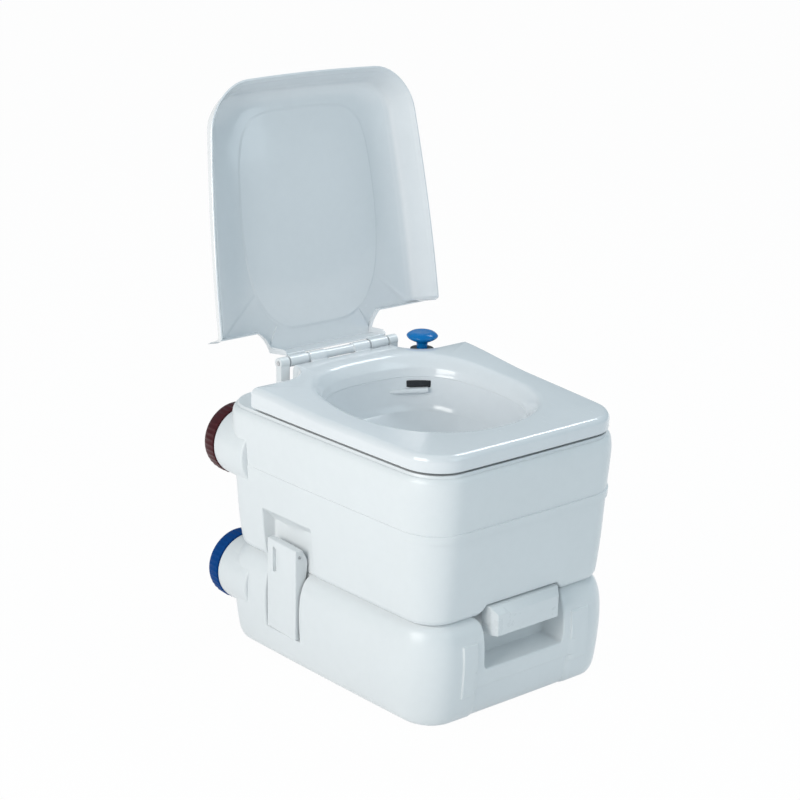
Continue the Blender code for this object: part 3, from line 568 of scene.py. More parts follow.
# ================================================================ waste tank
DECK = 0.134
RECESS = {"half": 0.066, "floor": 0.068, "back": -0.152}
PADS = ((-0.1015, -0.0785), (0.0785, 0.1070))
PAD_LOW, PAD_HIGH = 0.037, 0.107
PANEL_HALF, PANEL_TOP = 0.0770, 0.0450
FRONT_END = 0.1108
LEVER_LOW_POCKET = (0.0475, 0.1145, 0.0425)
LEVER_HIGH_POCKET = (0.030, 0.125, 0.205)
POCKET_FLOOR = 0.158


def recess_edge(z):
    """Half the width of the grip recess: rounded at its foot and flared at the deck."""
    half, foot = RECESS["half"], 0.006
    below = RECESS["floor"] + foot - z
    if below > 0:
        half -= foot - math.sqrt(max(0.0, foot * foot - min(below, foot) ** 2))
    flare = 0.014
    above = z - (DECK - flare)
    if above > 0:
        half += 0.7 * (flare - math.sqrt(max(0.0, flare * flare - above * above)))
    return half


def shift_places(places, edge, edge_now):
    """Moves front stations so that those at one edge follow it."""
    out = []
    for x in places:
        reach = abs(x)
        if reach <= edge:
            moved = reach * edge_now / edge
        else:
            moved = edge_now + (reach - edge) * (FRONT_END - edge_now) / (FRONT_END - edge)
        out.append(math.copysign(moved, x))
    return out


def pocket_dent(point, front, rear, inside_z, slope):
    """How far a lever pocket pulls a side's corner inward."""
    depth = min(abs(point.x) - POCKET_FLOOR, slope)
    return dent_depth(min(point.y - front, rear - point.y, inside_z), depth)


def waste_ring(curve, z, fronts, sides):
    size = tank_sizes()
    edge = recess_edge(z)
    ring = tank_ring(inset_at(curve, z), shift_places(fronts, RECESS["half"], edge), sides)
    low_front, low_rear, low_z = LEVER_LOW_POCKET
    for point in ring:
        reach = abs(point.x)
        if point.y < -0.10:
            raised = 0.0
            for left, right in PADS:
                inside = min(point.x - left, right - point.x, z - PAD_LOW, PAD_HIGH - z)
                raised = max(raised, dent_depth(inside, size.pad_height, 0.0012))
            sunk = dent_depth(min(PANEL_HALF - reach, PANEL_TOP - z), 0.0024, 0.0011)
            shoulder = point.y
            point.y += sunk - raised
            if reach < edge + 0.01:
                inside = min(edge - reach, z - RECESS["floor"])
                point.y += dent_depth(inside, RECESS["back"] - shoulder)
        elif abs(point.y - 0.08) < 0.06:
            pulled = pocket_dent(point, low_front, low_rear, z - low_z, 0.003 + (z - low_z))
            point.x = math.copysign(reach - pulled, point.x)
        point.z = z
    return ring


def neck_tools(x, z):
    """A tank's round neck, which points to the rear, and the shoulder in front of its cap."""
    neck, shoulder = bmesh.new(), bmesh.new()
    bar(neck, NECK_RADIUS, (x, NECK_START, z), (x, NECK_END, z), 64)
    bar(shoulder, SHOULDER_RADIUS, (x, NECK_START, z), (x, SHOULDER_END, z), 72)
    round_edges(shoulder, sharp_edges(shoulder, 60), 0.003)
    return shoulder, neck


def pocket_tools():
    """The valve's pocket in the deck, with its rod's slot and the outlet below."""
    pocket, slot, outlet = bmesh.new(), bmesh.new(), bmesh.new()
    block(pocket, (-0.0603, 0.0603), (-0.1488, 0.0288), (0.1122, 0.16))
    block(slot, (-0.010, 0.010), (-0.162, -0.139), (0.1122, 0.16))
    bar(outlet, 0.038, (0, VALVE_Y, 0.07), (0, VALVE_Y, 0.13), 64)
    return pocket, slot, outlet


class TOILET_OT_waste_tank(bpy.types.Operator):
    """Make the waste tank, with its grip recess, front pads, neck and lever pockets"""
    bl_idname = "toilet.waste_tank"
    bl_label = "Waste Tank"

    def execute(self, context):
        curve = curve_through(WASTE_PROFILE)
        edges_x = [RECESS["half"], -RECESS["half"], PANEL_HALF, -PANEL_HALF]
        edges_x += [side for pad in PADS for side in pad]
        fronts = stations(-FRONT_END, FRONT_END, edges_x, 0.006)
        sides = stations(-0.14, 0.162, LEVER_LOW_POCKET[:2], 0.008)
        edges_z = (RECESS["floor"], PANEL_TOP, PAD_LOW, PAD_HIGH, LEVER_LOW_POCKET[2])
        heights = levels(curve, edges_z)
        bm = loft(bmesh.new(), [waste_ring(curve, z, fronts, sides) for z in heights])
        piece = to_piece(
            "waste_tank_shell", bm, finishes()["white"], "root", ("waste_tank",)
        )
        cut(piece, *neck_tools(*DRAIN_NECK), operation="UNION")
        cut(piece, *pocket_tools())
        return {"FINISHED"}


# ================================================================ flush tank
FLUSH_BASE = FLUSH_PROFILE[0][1]
ARCH_TOP = 0.149
ARCH_EDGE = 0.0655
BAND_LOW, BAND_HIGH = 0.2474, 0.2582


def arch_edge(z):
    """Half the width of the arch over the handle."""
    share = min(max((z - FLUSH_BASE) / (ARCH_TOP - FLUSH_BASE), 0.0), 1.0)
    foot = 0.006
    flare = max(0.0, foot - (z - FLUSH_BASE)) / foot
    return 0.0715 - 0.0125 * share + 0.003 * flare * flare


def flush_ring(curve, z, fronts, sides):
    size = tank_sizes()
    edge = arch_edge(z)
    ring = tank_ring(inset_at(curve, z), shift_places(fronts, ARCH_EDGE, edge), sides)
    front, rear, top = LEVER_HIGH_POCKET
    under = step_up(z, 0.2584, 0.2579)
    band_front = under * step_up(z, 0.2472, 0.2477)
    band_side = under * step_up(z, 0.215, 0.2575)
    for point in ring:
        near_front = step_up(point.y, -0.135, -0.165)
        proud = size.band_height * (band_front * near_front + 0.55 * band_side * (1 - near_front))
        point += point.normalized() * proud
        if point.y < -0.10 and abs(point.x) < edge + 0.01:
            inside = min(edge - abs(point.x), ARCH_TOP - z)
            point.y += dent_depth(inside, RECESS["back"] - point.y)
        elif abs(point.y - 0.078) < 0.06 and abs(point.x) > 0.1:
            pulled = pocket_dent(point, front, rear, top - z, 0.002 + (top - z) * 0.9)
            point.x = math.copysign(abs(point.x) - pulled, point.x)
        point.z = z
    return ring


class TOILET_OT_flush_tank(bpy.types.Operator):
    """Make the flush tank, with its band, handle arch, lever pockets and the well for the bowl"""
    bl_idname = "toilet.flush_tank"
    bl_label = "Flush Tank"

    def execute(self, context):
        curve = curve_through(FLUSH_PROFILE)
        fronts = stations(-FRONT_END, FRONT_END, (ARCH_EDGE, -ARCH_EDGE), 0.006)
        sides = stations(-0.14, 0.162, LEVER_HIGH_POCKET[:2], 0.008)
        heights = levels(curve, (ARCH_TOP, BAND_LOW, BAND_HIGH, LEVER_HIGH_POCKET[2]))
        rings = [flush_ring(curve, z, fronts, sides) for z in heights]
        angles = angles_of(rings[-1])
        top = FLUSH_PROFILE[-1][1]
        rings.append(oval(-0.0067, top, angles))
        rings += [bowl_ring(share, z, 0.0036, angles) for share, z in BOWL_LEVELS]
        bm = loft(bmesh.new(), rings, closed=True)
        piece = to_piece(
            "flush_tank_shell", bm, finishes()["white"], "root", ("flush_tank",)
        )
        cut(piece, *neck_tools(*FILL_NECK), operation="UNION")
        return {"FINISHED"}


# ================================================================ bowl and flush outlet
SLOT_PLACE, SLOT_TURN = (0.078, 0.1238, 0.3265), math.radians(-36)

# Along the spout: share of its drop, place and growth of its section
SPOUT_SECTIONS = (
    (0.0, 0.012, 0.0), (0.3, -0.006, 0.0), (0.6, -0.022, -0.0004), (0.85, -0.038, -0.0008),
    (1.0, -0.0460, -0.0014),
)


class TOILET_OT_bowl(bpy.types.Operator):
    """Make the bowl with its flange and step, and the flush outlet in its rear wall"""
    bl_idname = "toilet.bowl"
    bl_label = "Bowl"

    def execute(self, context):
        angles = even_angles(112)
        rim = FLUSH_PROFILE[-1][1] + GAP + 0.003
        shape = [*BOWL_LEVELS[:2], *curve_through(BOWL_LEVELS[2:-1], 5), BOWL_LEVELS[-1]]
        inner = [bowl_ring(share, z, 0.0, angles) for share, z in reversed(shape)]
        outer = [bowl_ring(share, z, 0.003, angles) for share, z in shape]
        rings = [oval(0.0, rim - 0.0004, angles), oval(0.0, rim - 0.003, angles)]
        rings += [oval(-0.007, rim - 0.003, angles), *outer, *inner]
        rings += [oval(-0.010, rim - 0.001, angles), oval(-0.0092, rim, angles)]
        bm = loft(bmesh.new(), rings, closed=True)
        to_piece("toilet_bowl", bm, finishes()["glossy"], "root", ("bowl",))
        self.outlet()
        return {"FINISHED"}

    def outlet(self):
        """A slot in the bowl's rear wall, a black block of painted shade, with a flat spout that
        turns the water sideways.
        """
        turn = Matrix.Translation(SLOT_PLACE) @ Matrix.Rotation(SLOT_TURN, 4, "Z")
        slot, spout = bmesh.new(), bmesh.new()
        block(slot, (-0.017, 0.016), (-0.0030, 0.006), (-0.0045, 0.0050), 0.0012)
        rings = []
        for share, x, grow in SPOUT_SECTIONS:
            ring = []
            for angle in even_angles(24):
                c, s = math.cos(angle), math.sin(angle)
                wide = (0.0065 + grow) * math.copysign(abs(c) ** 0.6, c)
                tall = (0.0034 + grow) * math.copysign(abs(s) ** 0.6, s)
                drop = 0.0030 * share
                ring.append(Vector((x, wide - 0.0035 - drop, tall - 0.0068 - drop)))
            rings.append(ring)
        loft(spout, rings)
        for bm in (slot, spout):
            bmesh.ops.transform(bm, matrix=turn, verts=bm.verts[:])
        # Painted shade: this black block stands for the dark inside the slot's opening
        to_piece("flush_slot_shade", slot, finishes()["black"], "root")
        piece = to_piece(
            "flush_spout", spout, finishes()["glossy"], "root", ("flush_nozzle",)
        )
        mouth = bmesh.new()
        block(mouth, (-0.055, -0.0430), (-0.0100, -0.0020), (-0.0120, -0.0085))
        bmesh.ops.transform(mouth, matrix=turn, verts=mouth.verts[:])
        cut(piece, mouth)


# ================================================================ seat
NOTCH_X = 0.130


def cut_plan(plan_half, corner_y, centre_y, notch, rear_y, counts=(90, 10, 22, 22)):
    """A plan whose rear corners are cut off, each with a round notch, from its right half."""
    side_count, line_count, arc_count, rear_count = counts
    kept = [plan_half[0]]
    for a, b in zip(plan_half, plan_half[1:]):
        if b.y >= corner_y:
            kept.append(a.lerp(b, (corner_y - a.y) / (b.y - a.y)))
            break
        kept.append(b)
    lengths = [0.0]
    for a, b in zip(kept, kept[1:]):
        lengths.append(lengths[-1] + (b - a).length)
    half = []
    at = 0
    for i in range(side_count + 1):
        want = lengths[-1] * i / side_count
        while at < len(lengths) - 2 and lengths[at + 1] < want:
            at += 1
        span = max(lengths[at + 1] - lengths[at], 1e-9)
        half.append(kept[at].lerp(kept[at + 1], (want - lengths[at]) / span))
    corner, turn = half[-1].copy(), Vector((NOTCH_X, corner_y, 0.0))
    half += [corner.lerp(turn, i / line_count) for i in range(1, line_count)]
    last = math.degrees(math.asin(min(1.0, (rear_y - centre_y) / notch)))
    first = math.degrees(math.asin(max(-1.0, (corner_y - centre_y) / notch)))
    for angle in arc_points(arc_count, first, last):
        x, y = NOTCH_X - notch * math.cos(angle), centre_y + notch * math.sin(angle)
        half.append(Vector((x, y, 0.0)))
    end = half[-1].copy()
    half += [end.lerp(Vector((0.0, rear_y, 0.0)), i / rear_count) for i in range(1, rear_count + 1)]
    mirrored = [Vector((-p.x, p.y, 0.0)) for p in reversed(half[1:-1])]
    return half + mirrored


def half_of(ring):
    """The right half of a full plan ring, from its front middle to its rear middle."""
    right = [point for point in ring if point.x >= -1e-6]
    return sorted(right, key=lambda p: (p.y >= HOLE_Y, math.atan2(p.y, p.x)))


def seat_outline(inset, grow, z):
    """The seat's outline, with its notches cut back by grow."""
    size = tank_sizes()
    places = [size.half_width * (i / 20 - 1) for i in range(41)]
    sides = [-0.14 + 0.302 * i / 40 for i in range(41)]
    ring = tank_ring(inset + 0.003, places, sides)
    rear = HINGE_Y - 0.0115 - grow
    outline = cut_plan(half_of(ring), 0.145 - grow, 0.192, 0.047 + grow, rear)
    return [Vector((p.x, p.y, z)) for p in outline]


def seat_rise(y):
    return seat_sizes().rise * step_up(y, 0.0, 0.145)


def lift(ring):
    return [Vector((p.x, p.y, p.z + seat_rise(p.y))) for p in ring]


class TOILET_OT_seat(bpy.types.Operator):
    """Make the seat, with its rounded edge, sloped lip, hollow underside and hinge barrels"""
    bl_idname = "toilet.seat"
    bl_label = "Seat"

    def execute(self, context):
        size = seat_sizes()
        base, top, edge = size.base, size.top, size.edge
        rings = [seat_outline(0.0015, 0.0012, base), seat_outline(0.0003, 0.0003, base + 0.0012)]
        rings.append(seat_outline(0.0, 0.0, base + 0.003))
        for angle in arc_points(8, 0, 90):
            z = top - edge + edge * math.sin(angle)
            rings.append(lift(seat_outline(
                edge * (1 - math.cos(angle)), 0.003 * (1 - math.cos(angle)), z
            )))
        angles = angles_of(rings[-1])
        lip = curve_through((
            (0.009, top), (0.0045, top - 0.0006), (0.0005, top - 0.0030), (-0.004, top - 0.0085),
            (-0.008, top - 0.0150), (-0.0098, base + 0.0012), (-0.010, base),
        ), 4)
        rings += [lift(oval(grow, z, angles)) for grow, z in lip if z > base + 0.004]
        rings += [oval(grow, z, angles) for grow, z in lip if z <= base + 0.004]
        wall, roof = 0.004, top - 0.006
        rings += [oval(wall, base, angles), oval(wall, roof, angles)]
        rings += [seat_outline(wall + 0.006, wall, roof), seat_outline(wall, wall, base)]
        bm = loft(bmesh.new(), rings, closed=True)
        barrel(bm, -0.0515, 0.0515, 0.0062)
        for side in (-1, 1):
            x = sorted((side * 0.024, side * 0.050))
            barrel(bm, *x)
            web_z = (HINGE_Z - 0.0063, HINGE_Z - 0.0020)
            block(bm, x, (HINGE_Y - 0.020, HINGE_Y - 0.004), web_z, 0.001)
        to_piece(
            "toilet_seat", bm, finishes()["glossy"], "seat", ("seat",)
        )
        return {"FINISHED"}


# ================================================================ lid
PANEL_OUTLINE = (
    (0.0, 0.036), (0.030, 0.036), (0.055, 0.0395), (0.080, 0.056), (0.099, 0.088), (0.108, 0.130),
    (0.111, 0.180), (0.109, 0.230), (0.104, 0.275), (0.094, 0.305), (0.074, 0.3225), (0.040, 0.328),
    (0.0, 0.329),
)


def lid_plan(inset):
    """The closed lid's plan before its rear corners are cut."""
    size = seat_sizes()
    half, rear = size.lid_half, HINGE_Y - 0.0081
    front = size.lid_length - HINGE_Y
    radius, corner_rear = max(0.060 - inset, 0.004), max(0.020 - inset, 0.004)
    half_in, y_low, y_high = half - inset, -front + inset, rear - inset
    flat = [(x * (half_in - radius) / 20, y_low) for x in range(21)]
    for angle in arc_points(18, -90, 0)[1:]:
        x = half_in - radius + radius * math.cos(angle)
        flat.append((x, y_low + radius + radius * math.sin(angle)))
    low, high = y_low + radius, y_high - corner_rear
    flat += [(half_in, low + (high - low) * i / 40) for i in range(1, 41)]
    flat += [(half_in - corner_rear * (1 - math.cos(a)), high + corner_rear * math.sin(a))
             for a in arc_points(6, 0, 90)[1:]]
    flat.append((0.0, y_high))
    middle, reach = (rear - front) / 2, (rear + front) / 2
    out = []
    for x, y in flat:
        along = (y - middle) / reach
        wide = x * (1 + 0.37 * y) * (1 + 0.035 * (1 - along * along))
        across = x / half
        deep = y * (1 + 0.03 * (1 - across * across)) if y < 0 else y
        out.append(Vector((wide, deep, 0.0)))
    return out


def lid_outline(inset, grow, rise):
    """The closed lid's outline; its skirt is cut away along the rear notches."""
    rear, corner_y = HINGE_Y - 0.0081 - grow, HINGE_Y - 0.038 - grow
    ring = cut_plan(lid_plan(inset), corner_y, HINGE_Y, 0.047 + grow, rear, (150, 10, 24, 20))
    deep, turn = 0.0330, 0.010
    out = []
    for p in ring:
        reach = abs(p.x)
        on_notch = reach < NOTCH_X + 0.001 and p.y < rear - 0.0005 and reach > 0.084
        on_line = reach >= NOTCH_X and p.y > corner_y - 0.0003
        on_side = reach >= NOTCH_X and corner_y - turn < p.y <= corner_y - 0.0003
        base = 0.0
        if on_line:
            base = deep
        elif on_notch and p.y > corner_y - 0.002:
            base = deep * step_up(rear - p.y, 0.0, 0.008)
        elif on_side:
            share = 1 - (corner_y - p.y) / turn
            base = deep * (1 - math.sqrt(max(0.0, 1 - share ** 2.4)))
        out.append(Vector((p.x, p.y, HINGE_Z + base + rise * (1 - base / 0.0405))))
    return out


def panel_ring(rings_like, scale, rise):
    """The embossed panel's outline, with as many corners as another ring."""
    curve = [Vector((*p, 0.0)) for p in curve_through(PANEL_OUTLINE, 12)]
    centre = Vector((0.0, 0.185, 0.0))
    half = [(math.atan2(p.y - centre.y, p.x), (p - centre).length) for p in curve]
    out = []
    for point in rings_like:
        along = HINGE_Y - point.y
        angle = math.atan2(along - centre.y, abs(point.x))
        (a, near), (b, far) = half[0], half[1]
        for (a, near), (b, far) in zip(half, half[1:]):
            if a <= angle <= b:
                break
        share = min(max((angle - a) / max(b - a, 1e-9), 0.0), 1.0)
        reach = (near + (far - near) * share) * scale
        x = math.copysign(reach * math.cos(angle), point.x)
        y = HINGE_Y - (centre.y + reach * math.sin(angle))
        out.append(Vector((x, y, HINGE_Z + rise)))
    return out


class TOILET_OT_lid(bpy.types.Operator):
    """Make the lid, a deep shell with a flared skirt, an embossed panel and rear notches"""
    bl_idname = "toilet.lid"
    bl_label = "Lid"

    def execute(self, context):
        wall = seat_sizes().lid_wall
        shape = curve_through(LID_PROFILE, 6)
        rings = [lid_outline(0.0008, 0.0006, 0.0)]
        rings += [lid_outline(inset, 0.0, rise) for inset, rise in shape if rise > 0.0008]
        rings = [*rings[:1], lid_outline(0.0, 0.0, 0.0010), *rings[1:]]
        inner = [(inset + wall * 0.9, rise - wall) for inset, rise in shape if rise > 0.006]
        within = [lid_outline(wall - 0.0006, 0.0006, 0.0), lid_outline(wall, 0.0012, 0.0012)]
        within += [lid_outline(inset, 0.0016, rise) for inset, rise in inner]
        floor = inner[-1][1]
        like = within[-1]
        panel = [
            panel_ring(like, 1.012, floor), panel_ring(like, 1.002, floor - 0.0004),
            panel_ring(like, 0.992, floor - 0.0013), panel_ring(like, 0.978, floor - 0.0016),
            panel_ring(like, 0.5, floor - 0.0016),
        ]
        rings = [*reversed(rings), *within, *panel]
        bm = loft(bmesh.new(), rings)
        for side in (-1, 1):
            x = sorted((side * 0.053, side * 0.082))
            barrel(bm, *x)
            web_z = (HINGE_Z + 0.0005, HINGE_Z + 0.0055)
            block(bm, x, (HINGE_Y - 0.0105, HINGE_Y - 0.004), web_z, 0.001)
        open_up = (
            Matrix.Translation((0, HINGE_Y, HINGE_Z)) @ Matrix.Rotation(-LID_OPEN, 4, "X")
            @ Matrix.Translation((0, -HINGE_Y, -HINGE_Z))
        )
        bmesh.ops.transform(bm, matrix=open_up, verts=bm.verts[:])
        to_piece("toilet_lid", bm, finishes()["glossy"], "lid", ("lid",))
        return {"FINISHED"}


# ================================================================ caps, knob, handle and levers
class TOILET_OT_caps(bpy.types.Operator):
    """Make the ribbed screw caps of the fill neck and the drain neck"""
    bl_idname = "toilet.caps"
    bl_label = "Caps"

    def execute(self, context):
        self.cap("fill_cap", FILL_NECK, "red", "dark_red_plastic")
        self.cap("drain_cap", DRAIN_NECK, "blue", "blue_plastic")
        return {"FINISHED"}

    def cap(self, node, place, colour, slot):
        low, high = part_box(node)
        start, end = low.y, high.y
        radius = (high.x - low.x) / 2
        profile = (
            (0.0, end - 0.0043), (0.0417, end - 0.0043), (0.0417, start + 0.0008),
            (0.0425, start), (radius - 0.0012, start), (radius - 0.0003, start + 0.0006),
            (radius, start + 0.0016), (radius, end - 0.0060), (radius - 0.0004, end - 0.0035),
            (radius - 0.0014, end - 0.0014), (radius - 0.0030, end - 0.0003),
            (radius - 0.0050, end), (radius - 0.0150, end), (radius - 0.0165, end - 0.0010),
            (radius - 0.0180, end - 0.0012), (0.0, end - 0.0012),
        )
        bm = bmesh.new()
        ribs = 40
        spun(bm, profile, (place[0], 0.0, place[1]), (0, 1, 0), ribs * 4)
        for vert in bm.verts:
            out = Vector((vert.co.x - place[0], 0.0, vert.co.z - place[1]))
            if out.length > radius - 0.002:
                turn = math.atan2(out.z, out.x) * ribs
                ribbed = step_up(vert.co.y, end - 0.0010, end - 0.0045)
                vert.co -= out.normalized() * 0.0011 * (0.5 - 0.5 * math.cos(turn)) * ribbed
        to_piece(f"{node}_ribbed", bm, finishes()[colour], node, (node,))


class TOILET_OT_knob(bpy.types.Operator):
    """Make the flush pump's lobed knob"""
    bl_idname = "toilet.knob"
    bl_label = "Pump Knob"

    def execute(self, context):
        low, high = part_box("pump_knob")
        middle = (low + high) / 2
        radius = (high.x - low.x) / 2
        top = high.z
        profile = curve_through((
            (0.0, top - 0.0006), (0.006, top - 0.0003), (0.0130, top - 0.0004),
            (0.0180, top - 0.0022), (radius + 0.0006, top - 0.0050),
            (radius + 0.0010, top - 0.0075),
            (radius - 0.0010, top - 0.0100), (0.0150, top - 0.0126), (0.0100, top - 0.0146),
            (0.0080, top - 0.0170), (0.0075, low.z),
        ), 6) + [(0.0, low.z)]
        bm = bmesh.new()
        spun(bm, profile, (middle.x, middle.y, 0.0), (0, 0, 1), 96)
        for vert in bm.verts:
            out = Vector((vert.co.x - middle.x, vert.co.y - middle.y, 0.0))
            share = step_up(out.length, 0.010, radius)
            turn = math.atan2(out.y, out.x) * 8
            vert.co -= out * 0.022 * share * (0.5 - 0.5 * math.cos(turn))
        to_piece(
            "flush_knob", bm, finishes()["knob"], "pump_plunger", ("pump_knob",)
        )
        return {"FINISHED"}


class TOILET_OT_handle(bpy.types.Operator):
    """Make the slide valve's pull, chamfered in front and hollow behind"""
    bl_idname = "toilet.handle"
    bl_label = "Valve Handle"

    def execute(self, context):
        low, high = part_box("valve_handle")
        half = high.x

        def frame_ring(y, half_low, half_high, bottom, top):
            corners = ((-half_low, bottom), (half_low, bottom), (half_high, top), (-half_high, top))
            return [Vector((x, y, z)) for x, z in corners]

        wide = half + 0.0025
        bm = loft(bmesh.new(), [
            frame_ring(low.y, half - 0.0038, half - 0.0036, low.z + 0.0012, high.z - 0.0070),
            frame_ring(low.y + 0.0085, half - 0.0008, wide, low.z, high.z + 0.0018),
            frame_ring(high.y, half - 0.0008, wide, low.z, high.z + 0.0018),
        ])
        back = max(bm.faces, key=lambda face: face.calc_center_median().y)
        bmesh.ops.inset_region(bm, faces=[back], thickness=0.005, depth=0.0)
        moved = bmesh.ops.extrude_face_region(bm, geom=[back])["geom"]
        bmesh.ops.delete(bm, geom=[back], context="FACES_ONLY")
        verts = [item for item in moved if isinstance(item, bmesh.types.BMVert)]
        bmesh.ops.translate(bm, vec=(0, low.y + 0.006 - high.y, 0), verts=verts)
        round_edges(bm, sharp_edges(bm, 14), 0.0009, 3)
        to_piece(
            "valve_pull", bm, finishes()["handle"], "slide_valve",
            ("valve_handle",), 40,
        )
        return {"FINISHED"}


# The lever's thickness at heights above its foot and below its head, from its foot up
LEVER_FOOT = ((0.0, 0.0075), (0.040, 0.0095))
LEVER_HEAD = ((0.045, 0.0170), (0.022, 0.0200), (0.014, 0.0185), (0.007, 0.0150), (0.0, 0.0105))
FINGER_HALF, FINGER_REACH, FINGER_DEPTH = 0.0175, 0.0135, 0.0050


class TOILET_OT_levers(bpy.types.Operator):
    """Make the two latch levers, each with a finger slot and a hook"""
    bl_idname = "toilet.levers"
    bl_label = "Latch Levers"

    def execute(self, context):
        for side, word in ((-1, "left"), (1, "right")):
            self.lever(side, word)
        return {"FINISHED"}

    def lever(self, side, word):
        low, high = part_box(f"latch_{word}")
        outer = max(abs(low.x), abs(high.x))
        inner = outer - 0.012
        bm = bmesh.new()
        rings = []
        stack = [(low.z + above, thick) for above, thick in LEVER_FOOT]
        stack += [(high.z - below, thick) for below, thick in LEVER_HEAD]
        for z, thick in stack:
            back = outer - thick
            spans = ((outer, low.y), (outer, high.y), (back, high.y), (back, low.y))
            rings.append([Vector((side * x, y, z)) for x, y in spans])
        loft(bm, rings)
        bmesh.ops.recalc_face_normals(bm, faces=bm.faces[:])
        round_edges(bm, sharp_edges(bm, 40), 0.0016, 4)
        hook = sorted((side * (inner - 0.007), side * (inner + 0.006)))
        block(bm, hook, (low.y + 0.012, high.y - 0.012), (low.z + 0.002, low.z + 0.010), 0.0008)
        piece = to_piece(
            f"latch_lever_{word}", bm, finishes()["white"], f"latch_{word}",
            (f"latch_{word}",),
        )
        self.finger_slot(piece, side, outer, high)
        self.pin_end(word, low)

    def finger_slot(self, piece, side, outer, high):
        """Cuts a slot with one straight and one round side."""
        y, z = high.y - 0.0125, high.z - 0.0270
        points = [(y, z - FINGER_HALF), (y, z + FINGER_HALF)]
        for angle in arc_points(16, 0, 180)[1:-1]:
            points.append((y - FINGER_REACH * math.sin(angle), z + FINGER_HALF * math.cos(angle)))
        ends = (outer + 0.004, outer - FINGER_DEPTH)
        slot = loft(bmesh.new(), [[Vector((side * x, b, c)) for b, c in points] for x in ends])
        cut(piece, slot)

    def pin_end(self, word, low):
        """The round end of the lever's pin, on its front face."""
        pin_low, pin_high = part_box(f"latch_pin_{word}")
        middle = (pin_low + pin_high) / 2
        bm = bmesh.new()
        start, end = (middle.x, low.y - 0.0012, middle.z), (middle.x, low.y + 0.004, middle.z)
        bar(bm, 0.0021, start, end, 24)
        to_piece(
            f"latch_pin_end_{word}", bm, finishes()["steel"], f"latch_{word}",
            (f"latch_pin_{word}",),
        )


# ================================================================ finishes of the CAD pieces
NODE_FINISHES = {
    "steel": ("hinge_pin", "hinge_screw_1", "hinge_screw_2", "valve_screw_1", "valve_screw_2",
              "valve_screw_3", "valve_screw_4", "pump_rod"),
    "white": ("hinge_bracket_left", "hinge_bracket_right", "valve_cover", "valve_blade",
              "valve_rod", "pump_cylinder", "pump_piston"),
    "grey": ("valve_housing",),
    # The pump collar is painted near-black as the shade under the knob's neck
    "black": ("pump_collar",),
    "rubber": ("valve_seal_lower", "valve_seal_upper", "pump_seal", "suction_valve", "flush_hose",
               "fill_cap_gasket", "drain_cap_gasket", "seat_bumper_1", "seat_bumper_2",
               "seat_bumper_3", "seat_bumper_4"),
}


class TOILET_OT_hardware(bpy.types.Operator):
    """Give the pins, screws, seals, hinge brackets and valve pieces their finishes"""
    bl_idname = "toilet.hardware"
    bl_label = "Hardware Finishes"

    def execute(self, context):
        for name, nodes in NODE_FINISHES.items():
            for node in nodes:
                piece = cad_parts[node]
                for slot in piece.material_slots:
                    slot.material = finishes()[name]
        return {"FINISHED"}


# ================================================================ floor, light and camera
CAMERA = {
    "azimuth": -39.2, "elevation": 18.69, "roll": 1.35, "distance": 2.505,
    "target": (-0.028, 0.0333, 0.3488), "lens": 87.93,
}


PURE_WHITE = (1.0, 1.0, 1.0, 1.0)

# Place, target, size, watts and colour of each square lamp
LAMPS = {
    "key": ((-2.0, -0.30, 1.05), (0.0, 0.0, 0.25), 1.2, 25.0, (1.0, 0.975, 0.94)),
    "fill": ((0.6, -2.0, 1.6), (0.0, 0.0, 0.35), 1.6, 11.0, (0.80, 0.93, 1.0)),
    "top": ((1.25, 0.20, 2.0), (0.0, 0.0, 0.3), 0.7, 12.0, (0.92, 0.97, 1.0)),
}


def seen_white(start):
    """1 for rays that reach the eye directly or by a reflection, so that they meet plain white."""
    path = start.tree.nodes.new("ShaderNodeLightPath")
    camera, passed, glossy = (
        Signal(start.tree, path.outputs[f"Is {kind} Ray"])
        for kind in ("Camera", "Transmission", "Glossy")
    )
    return start.math("MAXIMUM", start.math("MAXIMUM", camera, passed), glossy)


